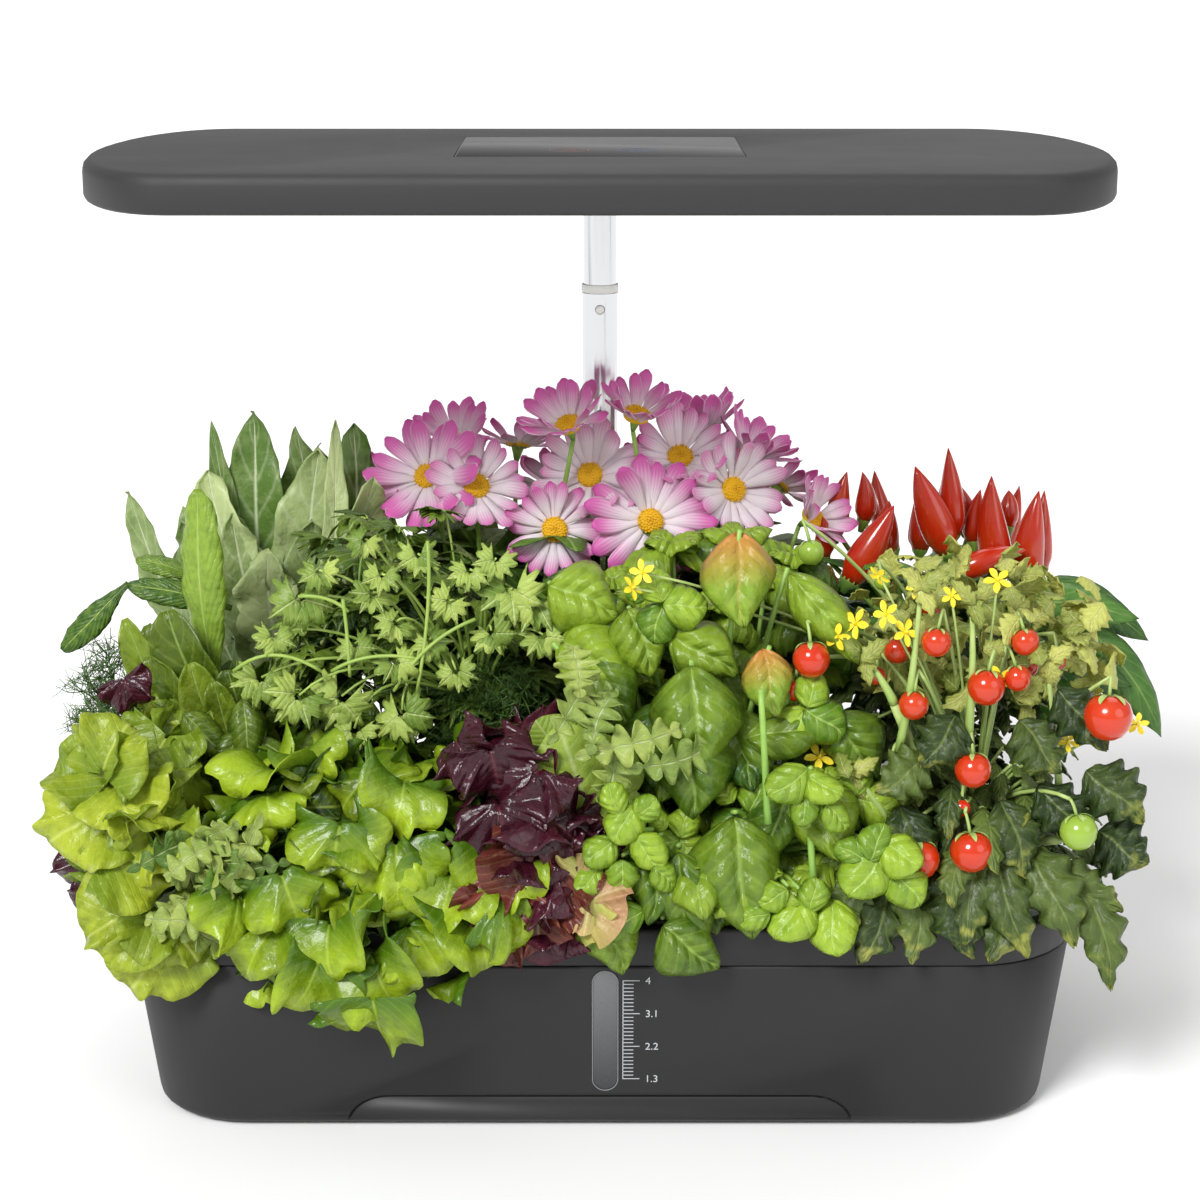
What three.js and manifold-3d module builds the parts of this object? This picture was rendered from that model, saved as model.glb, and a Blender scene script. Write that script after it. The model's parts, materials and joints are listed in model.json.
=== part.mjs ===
// Countertop hydroponic garden: a water tank with a planting deck, a telescopic pole and a grow lamp.
// Millimetres, +Z up. The origin lies on the table, under the middle of the tank. The front faces -Y.
import * as THREE from "three";
import { mergeVertices } from "three/addons/utils/BufferGeometryUtils.js";
import Module from "manifold-3d";

const wasm = await Module();
wasm.setup();

// Clearances that every piece shares.
const seat = 0.3; // between faces that touch
const overrun = 3; // how far a cut runs past the face that it opens

// Tank: outer sizes at the table and at the rim, and the seam between tank and deck frame.
const tankStandoff = 1.2; // the feet hold the tank this far off the table
const baseHalfX = 177;
const baseHalfY = 100;
const baseCorner = 38;
const rimHalfX = 189;
const rimHalfY = 108;
const rimCorner = 47;
const rimZ = 86;
const seamZ = 70;
const tankWall = 2.5;
const tankFloor = 3;
const tankFillet = 3.5;
const edgeChamfer = 0.6;

// Grip arch: a groove at the foot of the front and back walls.
const archHalfX = 99;
const archHeight = 13;
const archEndX = 17;
const archGroove = 1.1;
const archDepth = 1;

// Water window in the front wall.
const windowX = 2;
const windowWidth = 9.9;
const windowLowZ = 16.5;
const windowHighZ = 68.4;

// Feet.
const footRadius = 8;
const footRecess = 1;
const footX = 138;
const footY = 66;

// Deck frame, the dark rim that drops on the tank.
const rimWidth = 5;
const rimFillet = 2;
const lipDepth = 8;
const lipThickness = 2;
const lipClearance = 0.5;
const ledgeWidth = 4;
const ledgeThickness = 2.2;

// White planting deck.
const deckThickness = 2.5;
const deckSink = 1.5; // its top lies this far under the rim
const deckClearance = 0.4;
const podEdgeX = 59; // from the rim's end to the outer columns
const podInnerX = 45;
const podX = [podEdgeX - rimHalfX, -podInnerX, podInnerX, rimHalfX - podEdgeX];
const podEdgeFrontY = 46;
const podEdgeBackY = 56;
const frontRowY = podEdgeFrontY - rimHalfY;
const backRowY = rimHalfY - podEdgeBackY;
const podY = [frontRowY, (frontRowY + backRowY) / 2, backRowY];
const podHoleRadius = 15;
const collarWall = 1.6;
const collarDepth = 4;
const fillX = 0;
const fillY = frontRowY;
const fillRadius = 13;
const fillLip = 1.2;

// Grow baskets and the sponges in them.
const basketHeight = 42;
const basketTopRadius = 14.6;
const basketLowRadius = 12;
const basketWall = 1.2;
const flangeRadius = 18;
const flangeThickness = 1.2;
const basketHoleRadius = 4;
const slotWidth = 6;
const slotHeight = 22;
const slotPairs = 2;
const spongeClearance = 0.4;

// Heights of the lamp head, and how much of the pole shows under it.
const headTopZ = 370.7;
const headHeight = 15.2;
const headBottomZ = headTopZ - headHeight;
const upperTubeShow = 51;
const lowerTubeTopZ = headBottomZ - upperTubeShow;
const buttonDrop = 6.5; // the button lies this far under the lower tube's top
const buttonZ = lowerTubeTopZ - buttonDrop;

// Telescopic pole.
const poleX = 0;
const poleEdgeY = 40; // its axis lies this far inside the back rim
const poleY = rimHalfY - poleEdgeY;
const upperTubeRadius = 7;
const upperTubeWall = 0.8;
const lowerTubeRadius = 7.7;
const lowerTubeWall = 0.4;
const collarHeight = 3.3;
const collarRadius = 7.9;
const poleClearance = 0.3;
const socketRadius = 13;
const socketFlange = 19;
const socketFloor = 3;
const socketDepth = 16; // how far it reaches under the deck
const socketRise = 2;
const lockTravel = 45; // from the button down to the lower lock hole
const lockHoleRadius = 2.3;
const tubeEndMargin = 30; // how far the upper tube runs on below the button

// Snap button, just under the collar.
const buttonRadius = 1.9;
const buttonClearance = 0.2;
const buttonStandout = 0.7;
const buttonRim = 0.3;

// Lamp head.
const headHalfX = 200;
const headHalfY = 100;
const headEndX = 44;
const headWall = 2;
const headCeiling = 2.4;
const headTopFillet = 4.5;
const headLowFillet = 2.2;
const panelHalfX = 55.5;
const panelLowY = -35;
const panelHighY = 53;
const panelThickness = 0.8;
const panelCorner = 1.5;
const coverThickness = 2;
const coverSink = 1.7;
const lightHalfX = 160;
const lightLowY = -74;
const lightHighY = 36;
const lightCorner = 8;
const boardThickness = 1.6;
const boardMargin = 6;
const chipSize = 4;
const chipHeight = 1;
const chipColumns = 8;
const chipRows = 3;
const chipMargin = 12;
const controlHalfX = 44;
const controlLowY = -24;
const controlHighY = 42;
const bossRadius = 3;
const bossHeight = 2.2;
const bossMargin = 6;
const bracketRadius = 12;
const bracketRoof = 2;
const postX = 178;
const postY = 58;
const postRadius = 4;
const screwHeadRadius = 3;
const screwHeadHeight = 1.2;
const screwRadius = 1.4;
const screwLength = 7;
const screwClearance = 0.3;

// Pump, hung from the deck so that it lifts out with it.
const pumpX = 0;
const pumpY = -8;
const pumpHalfX = 21;
const pumpHalfY = 15;
const pumpHeight = 30;
const pumpCorner = 5;
const pumpOffFloor = 2;
const chamberRadius = 11;
const chamberDepth = 9;
const impellerRadius = 9.5;
const impellerHub = 3;
const impellerWidth = 6;
const impellerPlate = 1.4;
const impellerBlades = 6;
const bladeThickness = 1.4;
const axleRadius = 1.2;
const axleClearance = 0.3;
const coverPlate = 2;
const intakeHalfX = 14;
const intakeSlot = 1.8;
const intakeSlots = 5;
const nozzleRadius = 4.5;
const nozzleBore = 3;
const nozzleLength = 12;
const hangerHalfX = 12;
const hangerThickness = 3;
const hangerFlangeY = 14;
const hangerFlangeZ = 2.5;
const leadRadius = 1.5;
const leadBendDrop = 12; // the lead starts to bend this far under its level run
const leadRunX = 13; // how far beside the pole's axis it crosses the deck
const leadPassX = 22;
const leadPassDrop = 3;
const leadEndRun = 12; // straight length before the housing

// Power inlet at the back.
const inletX = 62;
const inletZ = 76;
const inletRadius = 4.4;
const inletBore = 3;
const inletPin = 0.9;
const inletLength = 9;
const inletFlangeRadius = 5.6;
const inletFlange = 1.2;
const housingHalfX = 24;
const housingDepthY = 16;
const housingHeight = 14;
const housingCorner = 3;

// Space for each plant over the deck. Columns and rows share their borders, less a gap.
const canopyGap = 1;
const canopyLift = 4; // lowest leaves over the rim
const overhangX = 26; // how far the outer leaves reach over the rim
const overhangY = 14;
const reachX = rimHalfX + overhangX;
const reachY = rimHalfY + overhangY;
const frontBorderY = -32;
const backBorderY = 26;
const frontBordersX = [-65, -2, 108];
const middleBordersX = [-112, -2, 100];
const backBordersX = [-104, 0, 94];
const poleGap = 10;

// Plants: the top of each over the table, and sizes that their forms share.
const lettuceTopZ = 171;
const redLettuceTopZ = 155;
const frontBasilTopZ = 196;
const frontTomatoTopZ = 196;
const romaineTopZ = 200;
const cilantroTopZ = 230;
const middleBasilTopZ = 214;
const middleTomatoTopZ = 212;
const endiveTopZ = 253;
const leftFlowersTopZ = 256;
const rightFlowersTopZ = 264;
const chiliTopZ = 240;
const leafThickness = 5;
const stalkRadius = 1.5;
const stemRadius = 3.5;
const flowerRadius = 20;
const flowerThickness = 5;
const tomatoRadius = 8;
const chiliRadius = 4;
const chiliLength = 42;
const chiliLean = 0.3;

// Colours.
const charcoal = { color: 0x3f4042, roughness: 0.62, metalness: 0 };
const headGrey = { color: 0x56575a, roughness: 0.6, metalness: 0 };
const white = { color: 0xf1f1ee, roughness: 0.45, metalness: 0 };
const smoked = { color: 0x77787a, roughness: 0.2, metalness: 0 };
const rubberBlack = { color: 0x1c1c1c, roughness: 0.9, metalness: 0 };
const tubeMetal = { color: 0xd6d8da, roughness: 0.22, metalness: 1 };
const panelGrey = { color: 0x6b6c70, roughness: 0.12, metalness: 0 };
const boardWhite = { color: 0xe8e8e2, roughness: 0.5, metalness: 0 };
const boardGreen = { color: 0x2c5a38, roughness: 0.5, metalness: 0 };
const steel = { color: 0x9a9a9c, roughness: 0.35, metalness: 1 };
const black = { color: 0x202123, roughness: 0.55, metalness: 0 };

// Geometry tools.

// Welds shared points and drops triangles that have no area.
function welded(geometry) {
  const bare = new THREE.BufferGeometry();
  bare.setAttribute("position", geometry.getAttribute("position"));
  if (geometry.index) bare.setIndex(geometry.index);
  const merged = mergeVertices(bare);
  const source = merged.index.array;
  const kept = [];
  for (let i = 0; i < source.length; i += 3) {
    const [a, b, c] = [source[i], source[i + 1], source[i + 2]];
    if (a !== b && b !== c && c !== a) kept.push(a, b, c);
  }
  merged.setIndex(kept);
  return signedVolume(merged) < 0 ? flipped(merged) : merged;
}

function signedVolume(geometry) {
  const p = geometry.getAttribute("position");
  const index = geometry.index.array;
  const [a, b, c] = [new THREE.Vector3(), new THREE.Vector3(), new THREE.Vector3()];
  let sum = 0;
  for (let i = 0; i < index.length; i += 3) {
    a.fromBufferAttribute(p, index[i]);
    b.fromBufferAttribute(p, index[i + 1]);
    c.fromBufferAttribute(p, index[i + 2]);
    sum += a.dot(b.cross(c));
  }
  return sum;
}

function flipped(geometry) {
  const index = Array.from(geometry.index.array);
  for (let i = 0; i < index.length; i += 3) [index[i], index[i + 1]] = [index[i + 1], index[i]];
  geometry.setIndex(index);
  return geometry;
}

function solidOf(geometry) {
  const shape = welded(geometry);
  return new wasm.Manifold(
    new wasm.Mesh({
      numProp: 3,
      vertProperties: new Float32Array(shape.getAttribute("position").array),
      triVerts: new Uint32Array(shape.index.array),
    }),
  );
}

function geometryOf(solid) {
  const mesh = solid.getMesh();
  const stride = mesh.numProp;
  const points = new Float32Array(mesh.numVert * 3);
  for (let i = 0; i < mesh.numVert; i += 1) {
    points.set(mesh.vertProperties.subarray(i * stride, i * stride + 3), i * 3);
  }
  const geometry = new THREE.BufferGeometry();
  geometry.setAttribute("position", new THREE.BufferAttribute(points, 3));
  geometry.setIndex(new THREE.BufferAttribute(new Uint32Array(mesh.triVerts), 1));
  return geometry;
}

function join(...pieces) {
  return geometryOf(pieces.map(solidOf).reduce((all, piece) => all.add(piece)));
}

function cut(body, ...tools) {
  return geometryOf(tools.map(solidOf).reduce((rest, tool) => rest.subtract(tool), solidOf(body)));
}

function common(a, b) {
  return geometryOf(solidOf(a).intersect(solidOf(b)));
}

// Skins a stack of rings that have as many points each. A looped stack has no caps.
function loft(rings, looped = false) {
  const count = rings[0].length;
  const points = rings.flat();
  const index = [];
  const spans = looped ? rings.length : rings.length - 1;
  for (let i = 0; i < spans; i += 1) {
    const low = i * count;
    const high = ((i + 1) % rings.length) * count;
    for (let j = 0; j < count; j += 1) {
      const k = (j + 1) % count;
      index.push(low + j, low + k, high + k, low + j, high + k, high + j);
    }
  }
  if (!looped) {
    for (const [ring, start, turn] of [
      [rings[0], 0, -1],
      [rings[rings.length - 1], (rings.length - 1) * count, 1],
    ]) {
      const middle = ring.reduce((sum, p) => sum.add(p), new THREE.Vector3()).divideScalar(count);
      points.push(middle);
      for (let j = 0; j < count; j += 1) {
        const k = (j + 1) % count;
        const [a, b] = turn > 0 ? [j, k] : [k, j];
        index.push(points.length - 1, start + a, start + b);
      }
    }
  }
  const geometry = new THREE.BufferGeometry().setFromPoints(points);
  geometry.setIndex(index);
  return geometry;
}

const cornerSteps = 8;

// Rounded rectangle about a centre, as a ring at height z.
function roundedRing(halfX, halfY, corner, z, centreX = 0, centreY = 0, steps = cornerSteps) {
  const ring = [];
  for (let quarter = 0; quarter < 4; quarter += 1) {
    const signX = quarter === 0 || quarter === 3 ? 1 : -1;
    const signY = quarter < 2 ? 1 : -1;
    for (let step = 0; step <= steps; step += 1) {
      const angle = ((quarter + step / steps) * Math.PI) / 2;
      const x = signX * (halfX - corner) + corner * Math.cos(angle);
      const y = signY * (halfY - corner) + corner * Math.sin(angle);
      ring.push(new THREE.Vector3(centreX + x, centreY + y, z));
    }
  }
  return ring;
}

// A straight slab with round corners.
function slab(lowX, highX, lowY, highY, lowZ, highZ, corner, steps = 3) {
  const sizes = [(highX - lowX) / 2, (highY - lowY) / 2, corner];
  const centre = [(lowX + highX) / 2, (lowY + highY) / 2];
  return loft([
    roundedRing(...sizes, lowZ, ...centre, steps),
    roundedRing(...sizes, highZ, ...centre, steps),
  ]);
}

function block(lowX, highX, lowY, highY, lowZ, highZ) {
  const box = new THREE.BoxGeometry(highX - lowX, highY - lowY, highZ - lowZ);
  return box.translate((lowX + highX) / 2, (lowY + highY) / 2, (lowZ + highZ) / 2);
}

// Upright cylinder, or cone, between two heights.
function rod(radius, lowZ, highZ, x = 0, y = 0, sides = 14, topRadius = radius) {
  const shape = new THREE.CylinderGeometry(topRadius, radius, highZ - lowZ, sides);
  return shape.rotateX(Math.PI / 2).translate(x, y, (lowZ + highZ) / 2);
}

// Upright hole whose flats, not its corners, lie at the radius.
function bore(radius, lowZ, highZ, x, y, sides = 14) {
  return rod(radius / Math.cos(Math.PI / sides), lowZ, highZ, x, y, sides);
}

// Cylinder along Y between two places.
function crossRod(radius, lowY, highY, x, z, sides = 12) {
  const shape = new THREE.CylinderGeometry(radius, radius, highY - lowY, sides);
  return shape.translate(x, (lowY + highY) / 2, z);
}

// Revolves a closed profile of [radius, height] pairs about the Z axis.
function revolve(profile, sides) {
  const points = [...profile, profile[0]].map(([r, z]) => new THREE.Vector2(r, z));
  return welded(new THREE.LatheGeometry(points, sides).rotateX(Math.PI / 2));
}

// Insets and drops of a round edge, from the wall to the face.
function roundEdge(radius, steps) {
  const pairs = [];
  for (let step = 0; step <= steps; step += 1) {
    const angle = (step / steps) * (Math.PI / 2);
    pairs.push([radius * (1 - Math.cos(angle)), radius * (1 - Math.sin(angle))]);
  }
  return pairs;
}

function named(name, geometry, finish) {
  const shape = welded(geometry);
  shape.computeVertexNormals();
  const mesh = new THREE.Mesh(shape, new THREE.MeshStandardMaterial(finish));
  mesh.name = name;
  return mesh;
}

const garden = new THREE.Group();
const tankGroup = new THREE.Group();
const deckGroup = new THREE.Group();
const lampGroup = new THREE.Group();
garden.add(tankGroup, deckGroup, lampGroup);

// Outer outline of tank and frame at a height: straight flanks from the table to the rim.
function flankRing(inset, z) {
  const share = (z - tankStandoff) / (rimZ - tankStandoff);
  const halfX = THREE.MathUtils.lerp(baseHalfX, rimHalfX, share) - inset;
  const halfY = THREE.MathUtils.lerp(baseHalfY, rimHalfY, share) - inset;
  const corner = THREE.MathUtils.lerp(baseCorner, rimCorner, share) - inset;
  return roundedRing(halfX, halfY, corner, z);
}

// Tank shell: one moulded cup with a round lower edge and a bevelled top edge.
const tankTopZ = seamZ - seat / 2;
const floorZ = tankStandoff + tankFloor;

function tankCup() {
  const rings = [];
  for (const [inset, drop] of roundEdge(tankFillet, 3).reverse()) {
    rings.push(flankRing(inset, tankStandoff + drop));
  }
  rings.push(flankRing(0, tankTopZ - edgeChamfer));
  rings.push(flankRing(edgeChamfer, tankTopZ));
  rings.push(flankRing(tankWall, tankTopZ));
  rings.push(flankRing(tankWall, floorZ));
  return loft(rings);
}

// A prism along Y of an outline drawn in X and Z, from the front of highY forwards.
function frontPrism(shape, highY, depth) {
  const options = { depth, bevelEnabled: false, curveSegments: 6 };
  return new THREE.ExtrudeGeometry(shape, options).rotateX(Math.PI / 2).translate(0, highY, 0);
}

function archOutline(inset) {
  const half = archHalfX - inset;
  const top = tankStandoff + archHeight - inset;
  const [endX, endZ] = [archEndX - inset, archHeight - inset];
  const shape = new THREE.Shape();
  shape.moveTo(-half, tankStandoff - overrun);
  shape.lineTo(half, tankStandoff - overrun);
  shape.lineTo(half, tankStandoff);
  shape.absellipse(half - endX, top - endZ, endX, endZ, 0, Math.PI / 2, false);
  shape.absellipse(-half + endX, top - endZ, endX, endZ, Math.PI / 2, Math.PI, false);
  shape.closePath();
  return shape;
}

// The groove follows the sloping wall at an even depth.
function archCutter() {
  const reach = baseHalfY + overrun * 2 - (baseHalfY - tankFillet * 2);
  const front = -(baseHalfY - tankFillet * 2);
  const outer = frontPrism(archOutline(0), front, reach);
  const inner = frontPrism(archOutline(archGroove), front + overrun, reach + overrun * 2);
  const core = loft([
    flankRing(archDepth, tankStandoff - overrun * 2),
    flankRing(archDepth, tankStandoff + archHeight + overrun),
  ]);
  return cut(outer, inner, core);
}

function windowOutline(grow) {
  const radius = windowWidth / 2 + grow;
  const shape = new THREE.Shape();
  const [low, high] = [windowLowZ + windowWidth / 2, windowHighZ - windowWidth / 2];
  shape.absarc(windowX, high, radius, 0, Math.PI, false);
  shape.absarc(windowX, low, radius, Math.PI, Math.PI * 2, false);
  shape.closePath();
  return shape;
}

function windowPrism(grow) {
  return frontPrism(windowOutline(grow), -(baseHalfY - tankWall * 2), rimHalfY - baseHalfY + tankWall * 4);
}

const footPlaces = [
  [-footX, -footY],
  [footX, -footY],
  [-footX, footY],
  [footX, footY],
];

function tankShell() {
  const recesses = footPlaces.map(([x, y]) =>
    bore(footRadius + seat, tankStandoff - overrun, tankStandoff + footRecess, x, y),
  );
  const groove = archCutter();
  const rearGroove = groove.clone().rotateZ(Math.PI);
  return cut(tankCup(), windowPrism(seat), groove, rearGroove, ...recesses);
}

tankGroup.add(named("tank_shell", tankShell(), charcoal));
tankGroup.add(named("water_window", common(tankCup(), windowPrism(0)), smoked));
footPlaces.forEach(([x, y], i) => {
  const foot = rod(footRadius, 0, tankStandoff + footRecess - seat, x, y);
  tankGroup.add(named(`foot_${i + 1}`, foot, rubberBlack));
});

// Deck frame: a looped section round the tank, with a lip that drops inside the tank.
const deckTopZ = rimZ - deckSink;
const deckLowZ = deckTopZ - deckThickness;
const ledgeTopZ = deckLowZ - seat;
const ledgeLowZ = ledgeTopZ - ledgeThickness;
const frameLowZ = seamZ + seat / 2;
const lipOutset = tankWall + lipClearance;

function deckFrame() {
  const rings = [flankRing(edgeChamfer, frameLowZ), flankRing(0, frameLowZ + edgeChamfer)];
  for (const [inset, drop] of roundEdge(rimFillet, 3)) rings.push(flankRing(inset, rimZ - drop));
  rings.push(flankRing(rimWidth, rimZ));
  rings.push(flankRing(rimWidth, ledgeTopZ));
  rings.push(flankRing(rimWidth + ledgeWidth, ledgeTopZ));
  rings.push(flankRing(rimWidth + ledgeWidth, ledgeLowZ));
  rings.push(flankRing(lipOutset + lipThickness, ledgeLowZ));
  rings.push(flankRing(lipOutset + lipThickness, seamZ - lipDepth));
  rings.push(flankRing(lipOutset, seamZ - lipDepth));
  rings.push(flankRing(lipOutset, frameLowZ));
  return cut(loft(rings, true), inletHole());
}

// Face of the sloping back wall at the top of the inlet's flange.
const inletTopShare = (inletZ + inletFlangeRadius - tankStandoff) / (rimZ - tankStandoff);
const backY = THREE.MathUtils.lerp(baseHalfY, rimHalfY, inletTopShare);
const inletInnerY = backY - inletLength;

function inletHole() {
  return crossRod(inletRadius + seat, inletInnerY - overrun, backY + overrun, inletX, inletZ);
}

deckGroup.add(named("deck_frame", deckFrame(), charcoal));

const pods = podY.flatMap((y) => podX.map((x) => [x, y]));

// Planting deck: a plate with a collar under each basket hole and a lip round the filling hole.
function plantingDeck() {
  const plate = loft([
    flankRing(rimWidth + deckClearance, deckLowZ),
    flankRing(rimWidth + deckClearance, deckTopZ),
  ]);
  const collars = pods.map(([x, y]) =>
    rod(podHoleRadius + collarWall, deckLowZ - collarDepth, deckTopZ - deckThickness / 2, x, y, 12),
  );
  const lip = rod(fillRadius + collarWall, deckLowZ - collarDepth, deckTopZ + fillLip, fillX, fillY);
  const [low, high] = [deckLowZ - collarDepth - overrun, deckTopZ + fillLip + overrun];
  const holes = pods.map(([x, y]) => bore(podHoleRadius, low, high, x, y, 12));
  holes.push(bore(fillRadius, low, high, fillX, fillY));
  holes.push(bore(socketRadius + seat, low, high, poleX, poleY));
  return cut(join(plate, ...collars, lip), ...holes);
}

deckGroup.add(named("planting_deck", plantingDeck(), white));

// Pole socket: a boss through the deck, with a flange against the deck's underside.
const socketLowZ = deckLowZ - socketDepth;
const socketSides = 16;

function poleSocket() {
  const cupRadius = (lowerTubeRadius + poleClearance) / Math.cos(Math.PI / socketSides);
  return revolve(
    [
      [0, socketLowZ],
      [socketRadius, socketLowZ],
      [socketRadius, deckLowZ - seat - ledgeThickness],
      [socketFlange, deckLowZ - seat - ledgeThickness],
      [socketFlange, deckLowZ - seat],
      [socketRadius, deckLowZ - seat],
      [socketRadius, deckTopZ + socketRise],
      [cupRadius, deckTopZ + socketRise],
      [cupRadius, socketLowZ + socketFloor],
      [0, socketLowZ + socketFloor],
    ],
    socketSides,
  ).translate(poleX, poleY, 0);
}

deckGroup.add(named("pole_socket", poleSocket(), charcoal));

function tube(outer, wall, lowZ, highZ) {
  return revolve(
    [
      [outer - wall, lowZ],
      [outer, lowZ],
      [outer, highZ],
      [outer - wall, highZ],
    ],
    20,
  ).translate(poleX, poleY, 0);
}

const buttonHoles = [buttonZ, buttonZ - lockTravel].map((z) =>
  crossRod(
    buttonRadius + buttonClearance,
    poleY - lowerTubeRadius - overrun,
    poleY - overrun,
    poleX,
    z,
  ),
);
const lowerTubeLowZ = socketLowZ + socketFloor + seat;
const lowerTube = tube(lowerTubeRadius, lowerTubeWall, lowerTubeLowZ, lowerTubeTopZ);
deckGroup.add(named("lower_tube", cut(lowerTube, ...buttonHoles), tubeMetal));

const collarLowZ = lowerTubeTopZ + seat;
const collarRing = tube(
  collarRadius,
  collarRadius - upperTubeRadius - poleClearance,
  collarLowZ,
  collarLowZ + collarHeight,
);
deckGroup.add(named("pole_collar", collarRing, white));

// Snap button: a domed stud whose nose ends just short of the upper tube.
const buttonNoseY = poleY - upperTubeRadius - seat;
const buttonFaceY = poleY - lowerTubeRadius - buttonStandout;

function snapButton() {
  const stud = revolve(
    [
      [0, 0],
      [buttonRadius, 0],
      [buttonRadius, buttonNoseY - buttonFaceY - buttonRim],
      [buttonRadius - buttonRim, buttonNoseY - buttonFaceY],
      [0, buttonNoseY - buttonFaceY],
    ],
    12,
  );
  return stud.rotateX(Math.PI / 2).translate(poleX, buttonNoseY, buttonZ);
}

deckGroup.add(named("snap_button", snapButton(), white));

// Power inlet: a barrel with a pin, through the back of the frame into the sealed housing.
function powerInlet() {
  const barrel = crossRod(inletRadius, inletInnerY, backY + seat, inletX, inletZ);
  const flange = crossRod(inletFlangeRadius, backY + seat, backY + seat + inletFlange, inletX, inletZ);
  const mouth = backY + seat + inletFlange + overrun;
  const hollow = crossRod(inletBore, inletInnerY + inletFlange, mouth, inletX, inletZ, 16);
  const pin = crossRod(inletPin, inletInnerY, backY, inletX, inletZ, 8);
  return join(cut(join(barrel, flange), hollow), pin);
}

deckGroup.add(named("power_inlet", powerInlet(), black));

const housingHighY = inletInnerY - seat;
const housingTopZ = ledgeTopZ;
const housingLowZ = housingTopZ - housingHeight;
const housingLowX = inletX - housingHalfX;
const powerHousing = slab(
  housingLowX,
  inletX + housingHalfX,
  housingHighY - housingDepthY,
  housingHighY,
  housingLowZ,
  housingTopZ,
  housingCorner,
);
deckGroup.add(named("power_housing", powerHousing, black));

// Pump: a body with a round impeller chamber in its front, closed by a slotted intake cover.
const pumpLowZ = floorZ + pumpOffFloor;
const pumpTopZ = pumpLowZ + pumpHeight;
const pumpMiddleZ = (pumpLowZ + pumpTopZ) / 2;
const pumpFrontY = pumpY - pumpHalfY;
const pumpBackY = pumpY + pumpHalfY;
const chamberBackY = pumpFrontY + chamberDepth;

function pumpBody() {
  const body = slab(
    pumpX - pumpHalfX,
    pumpX + pumpHalfX,
    pumpFrontY,
    pumpBackY,
    pumpLowZ,
    pumpTopZ,
    pumpCorner,
  );
  const nozzleZ = pumpTopZ - nozzleRadius;
  const nozzleX = pumpX + pumpHalfX;
  const pipe = rod(nozzleRadius, nozzleZ, pumpTopZ + nozzleLength, nozzleX - nozzleRadius * 2, pumpY);
  const spoutX = nozzleX - nozzleRadius * 2;
  const spout = bore(nozzleBore, pumpMiddleZ, pumpTopZ + nozzleLength + overrun, spoutX, pumpY);
  const chamber = crossRod(chamberRadius, pumpFrontY - overrun, chamberBackY, pumpX, pumpMiddleZ);
  const axle = crossRod(axleRadius, pumpFrontY, chamberBackY + overrun, pumpX, pumpMiddleZ, 12);
  return join(cut(join(body, pipe), spout, chamber), axle);
}

deckGroup.add(named("pump_body", pumpBody(), black));

const coverBackY = pumpFrontY - seat;
const coverFrontY = coverBackY - coverPlate;

function intakeCover() {
  const plate = block(
    pumpX - pumpHalfX + pumpCorner / 2,
    pumpX + pumpHalfX - pumpCorner / 2,
    coverFrontY,
    coverBackY,
    pumpLowZ,
    pumpTopZ - pumpCorner,
  );
  const pitch = (pumpHeight - pumpCorner) / (intakeSlots + 1);
  const slots = [];
  for (let i = 1; i <= intakeSlots; i += 1) {
    const z = pumpLowZ + pitch * i;
    const [low, high] = [z - intakeSlot / 2, z + intakeSlot / 2];
    slots.push(
      block(pumpX - intakeHalfX, pumpX + intakeHalfX, coverFrontY - overrun, coverBackY + overrun, low, high),
    );
  }
  return cut(plate, ...slots);
}

deckGroup.add(named("intake_cover", intakeCover(), black));

function impeller() {
  const backPlateY = chamberBackY - seat;
  const wheel = crossRod(impellerRadius, backPlateY - impellerPlate, backPlateY, pumpX, pumpMiddleZ);
  const hub = crossRod(impellerHub, backPlateY - impellerWidth, backPlateY, pumpX, pumpMiddleZ, 12);
  const blades = [];
  for (let i = 0; i < impellerBlades; i += 1) {
    const blade = block(
      0,
      impellerRadius - seat,
      backPlateY - impellerWidth,
      backPlateY - impellerPlate / 2,
      -bladeThickness / 2,
      bladeThickness / 2,
    );
    blade.rotateY((i / impellerBlades) * Math.PI * 2).translate(pumpX, 0, pumpMiddleZ);
    blades.push(blade);
  }
  const eye = crossRod(
    axleRadius + axleClearance,
    pumpFrontY - overrun,
    backPlateY + overrun,
    pumpX,
    pumpMiddleZ,
    12,
  );
  return cut(join(wheel, hub, ...blades), eye);
}

deckGroup.add(named("impeller", impeller(), white));

// Hanger: a flange under the deck, a plate down the pump's back and a foot on the pump's top.
function pumpHanger() {
  const backY = pumpBackY + seat;
  const flange = block(
    pumpX - hangerHalfX,
    pumpX + hangerHalfX,
    backY - hangerFlangeY,
    backY + hangerThickness,
    ledgeTopZ - hangerFlangeZ,
    ledgeTopZ,
  );
  const plate = block(
    pumpX - hangerHalfX,
    pumpX + hangerHalfX,
    backY,
    backY + hangerThickness,
    pumpLowZ + pumpCorner,
    ledgeTopZ,
  );
  return join(flange, plate);
}

deckGroup.add(named("pump_hanger", pumpHanger(), black));

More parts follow.
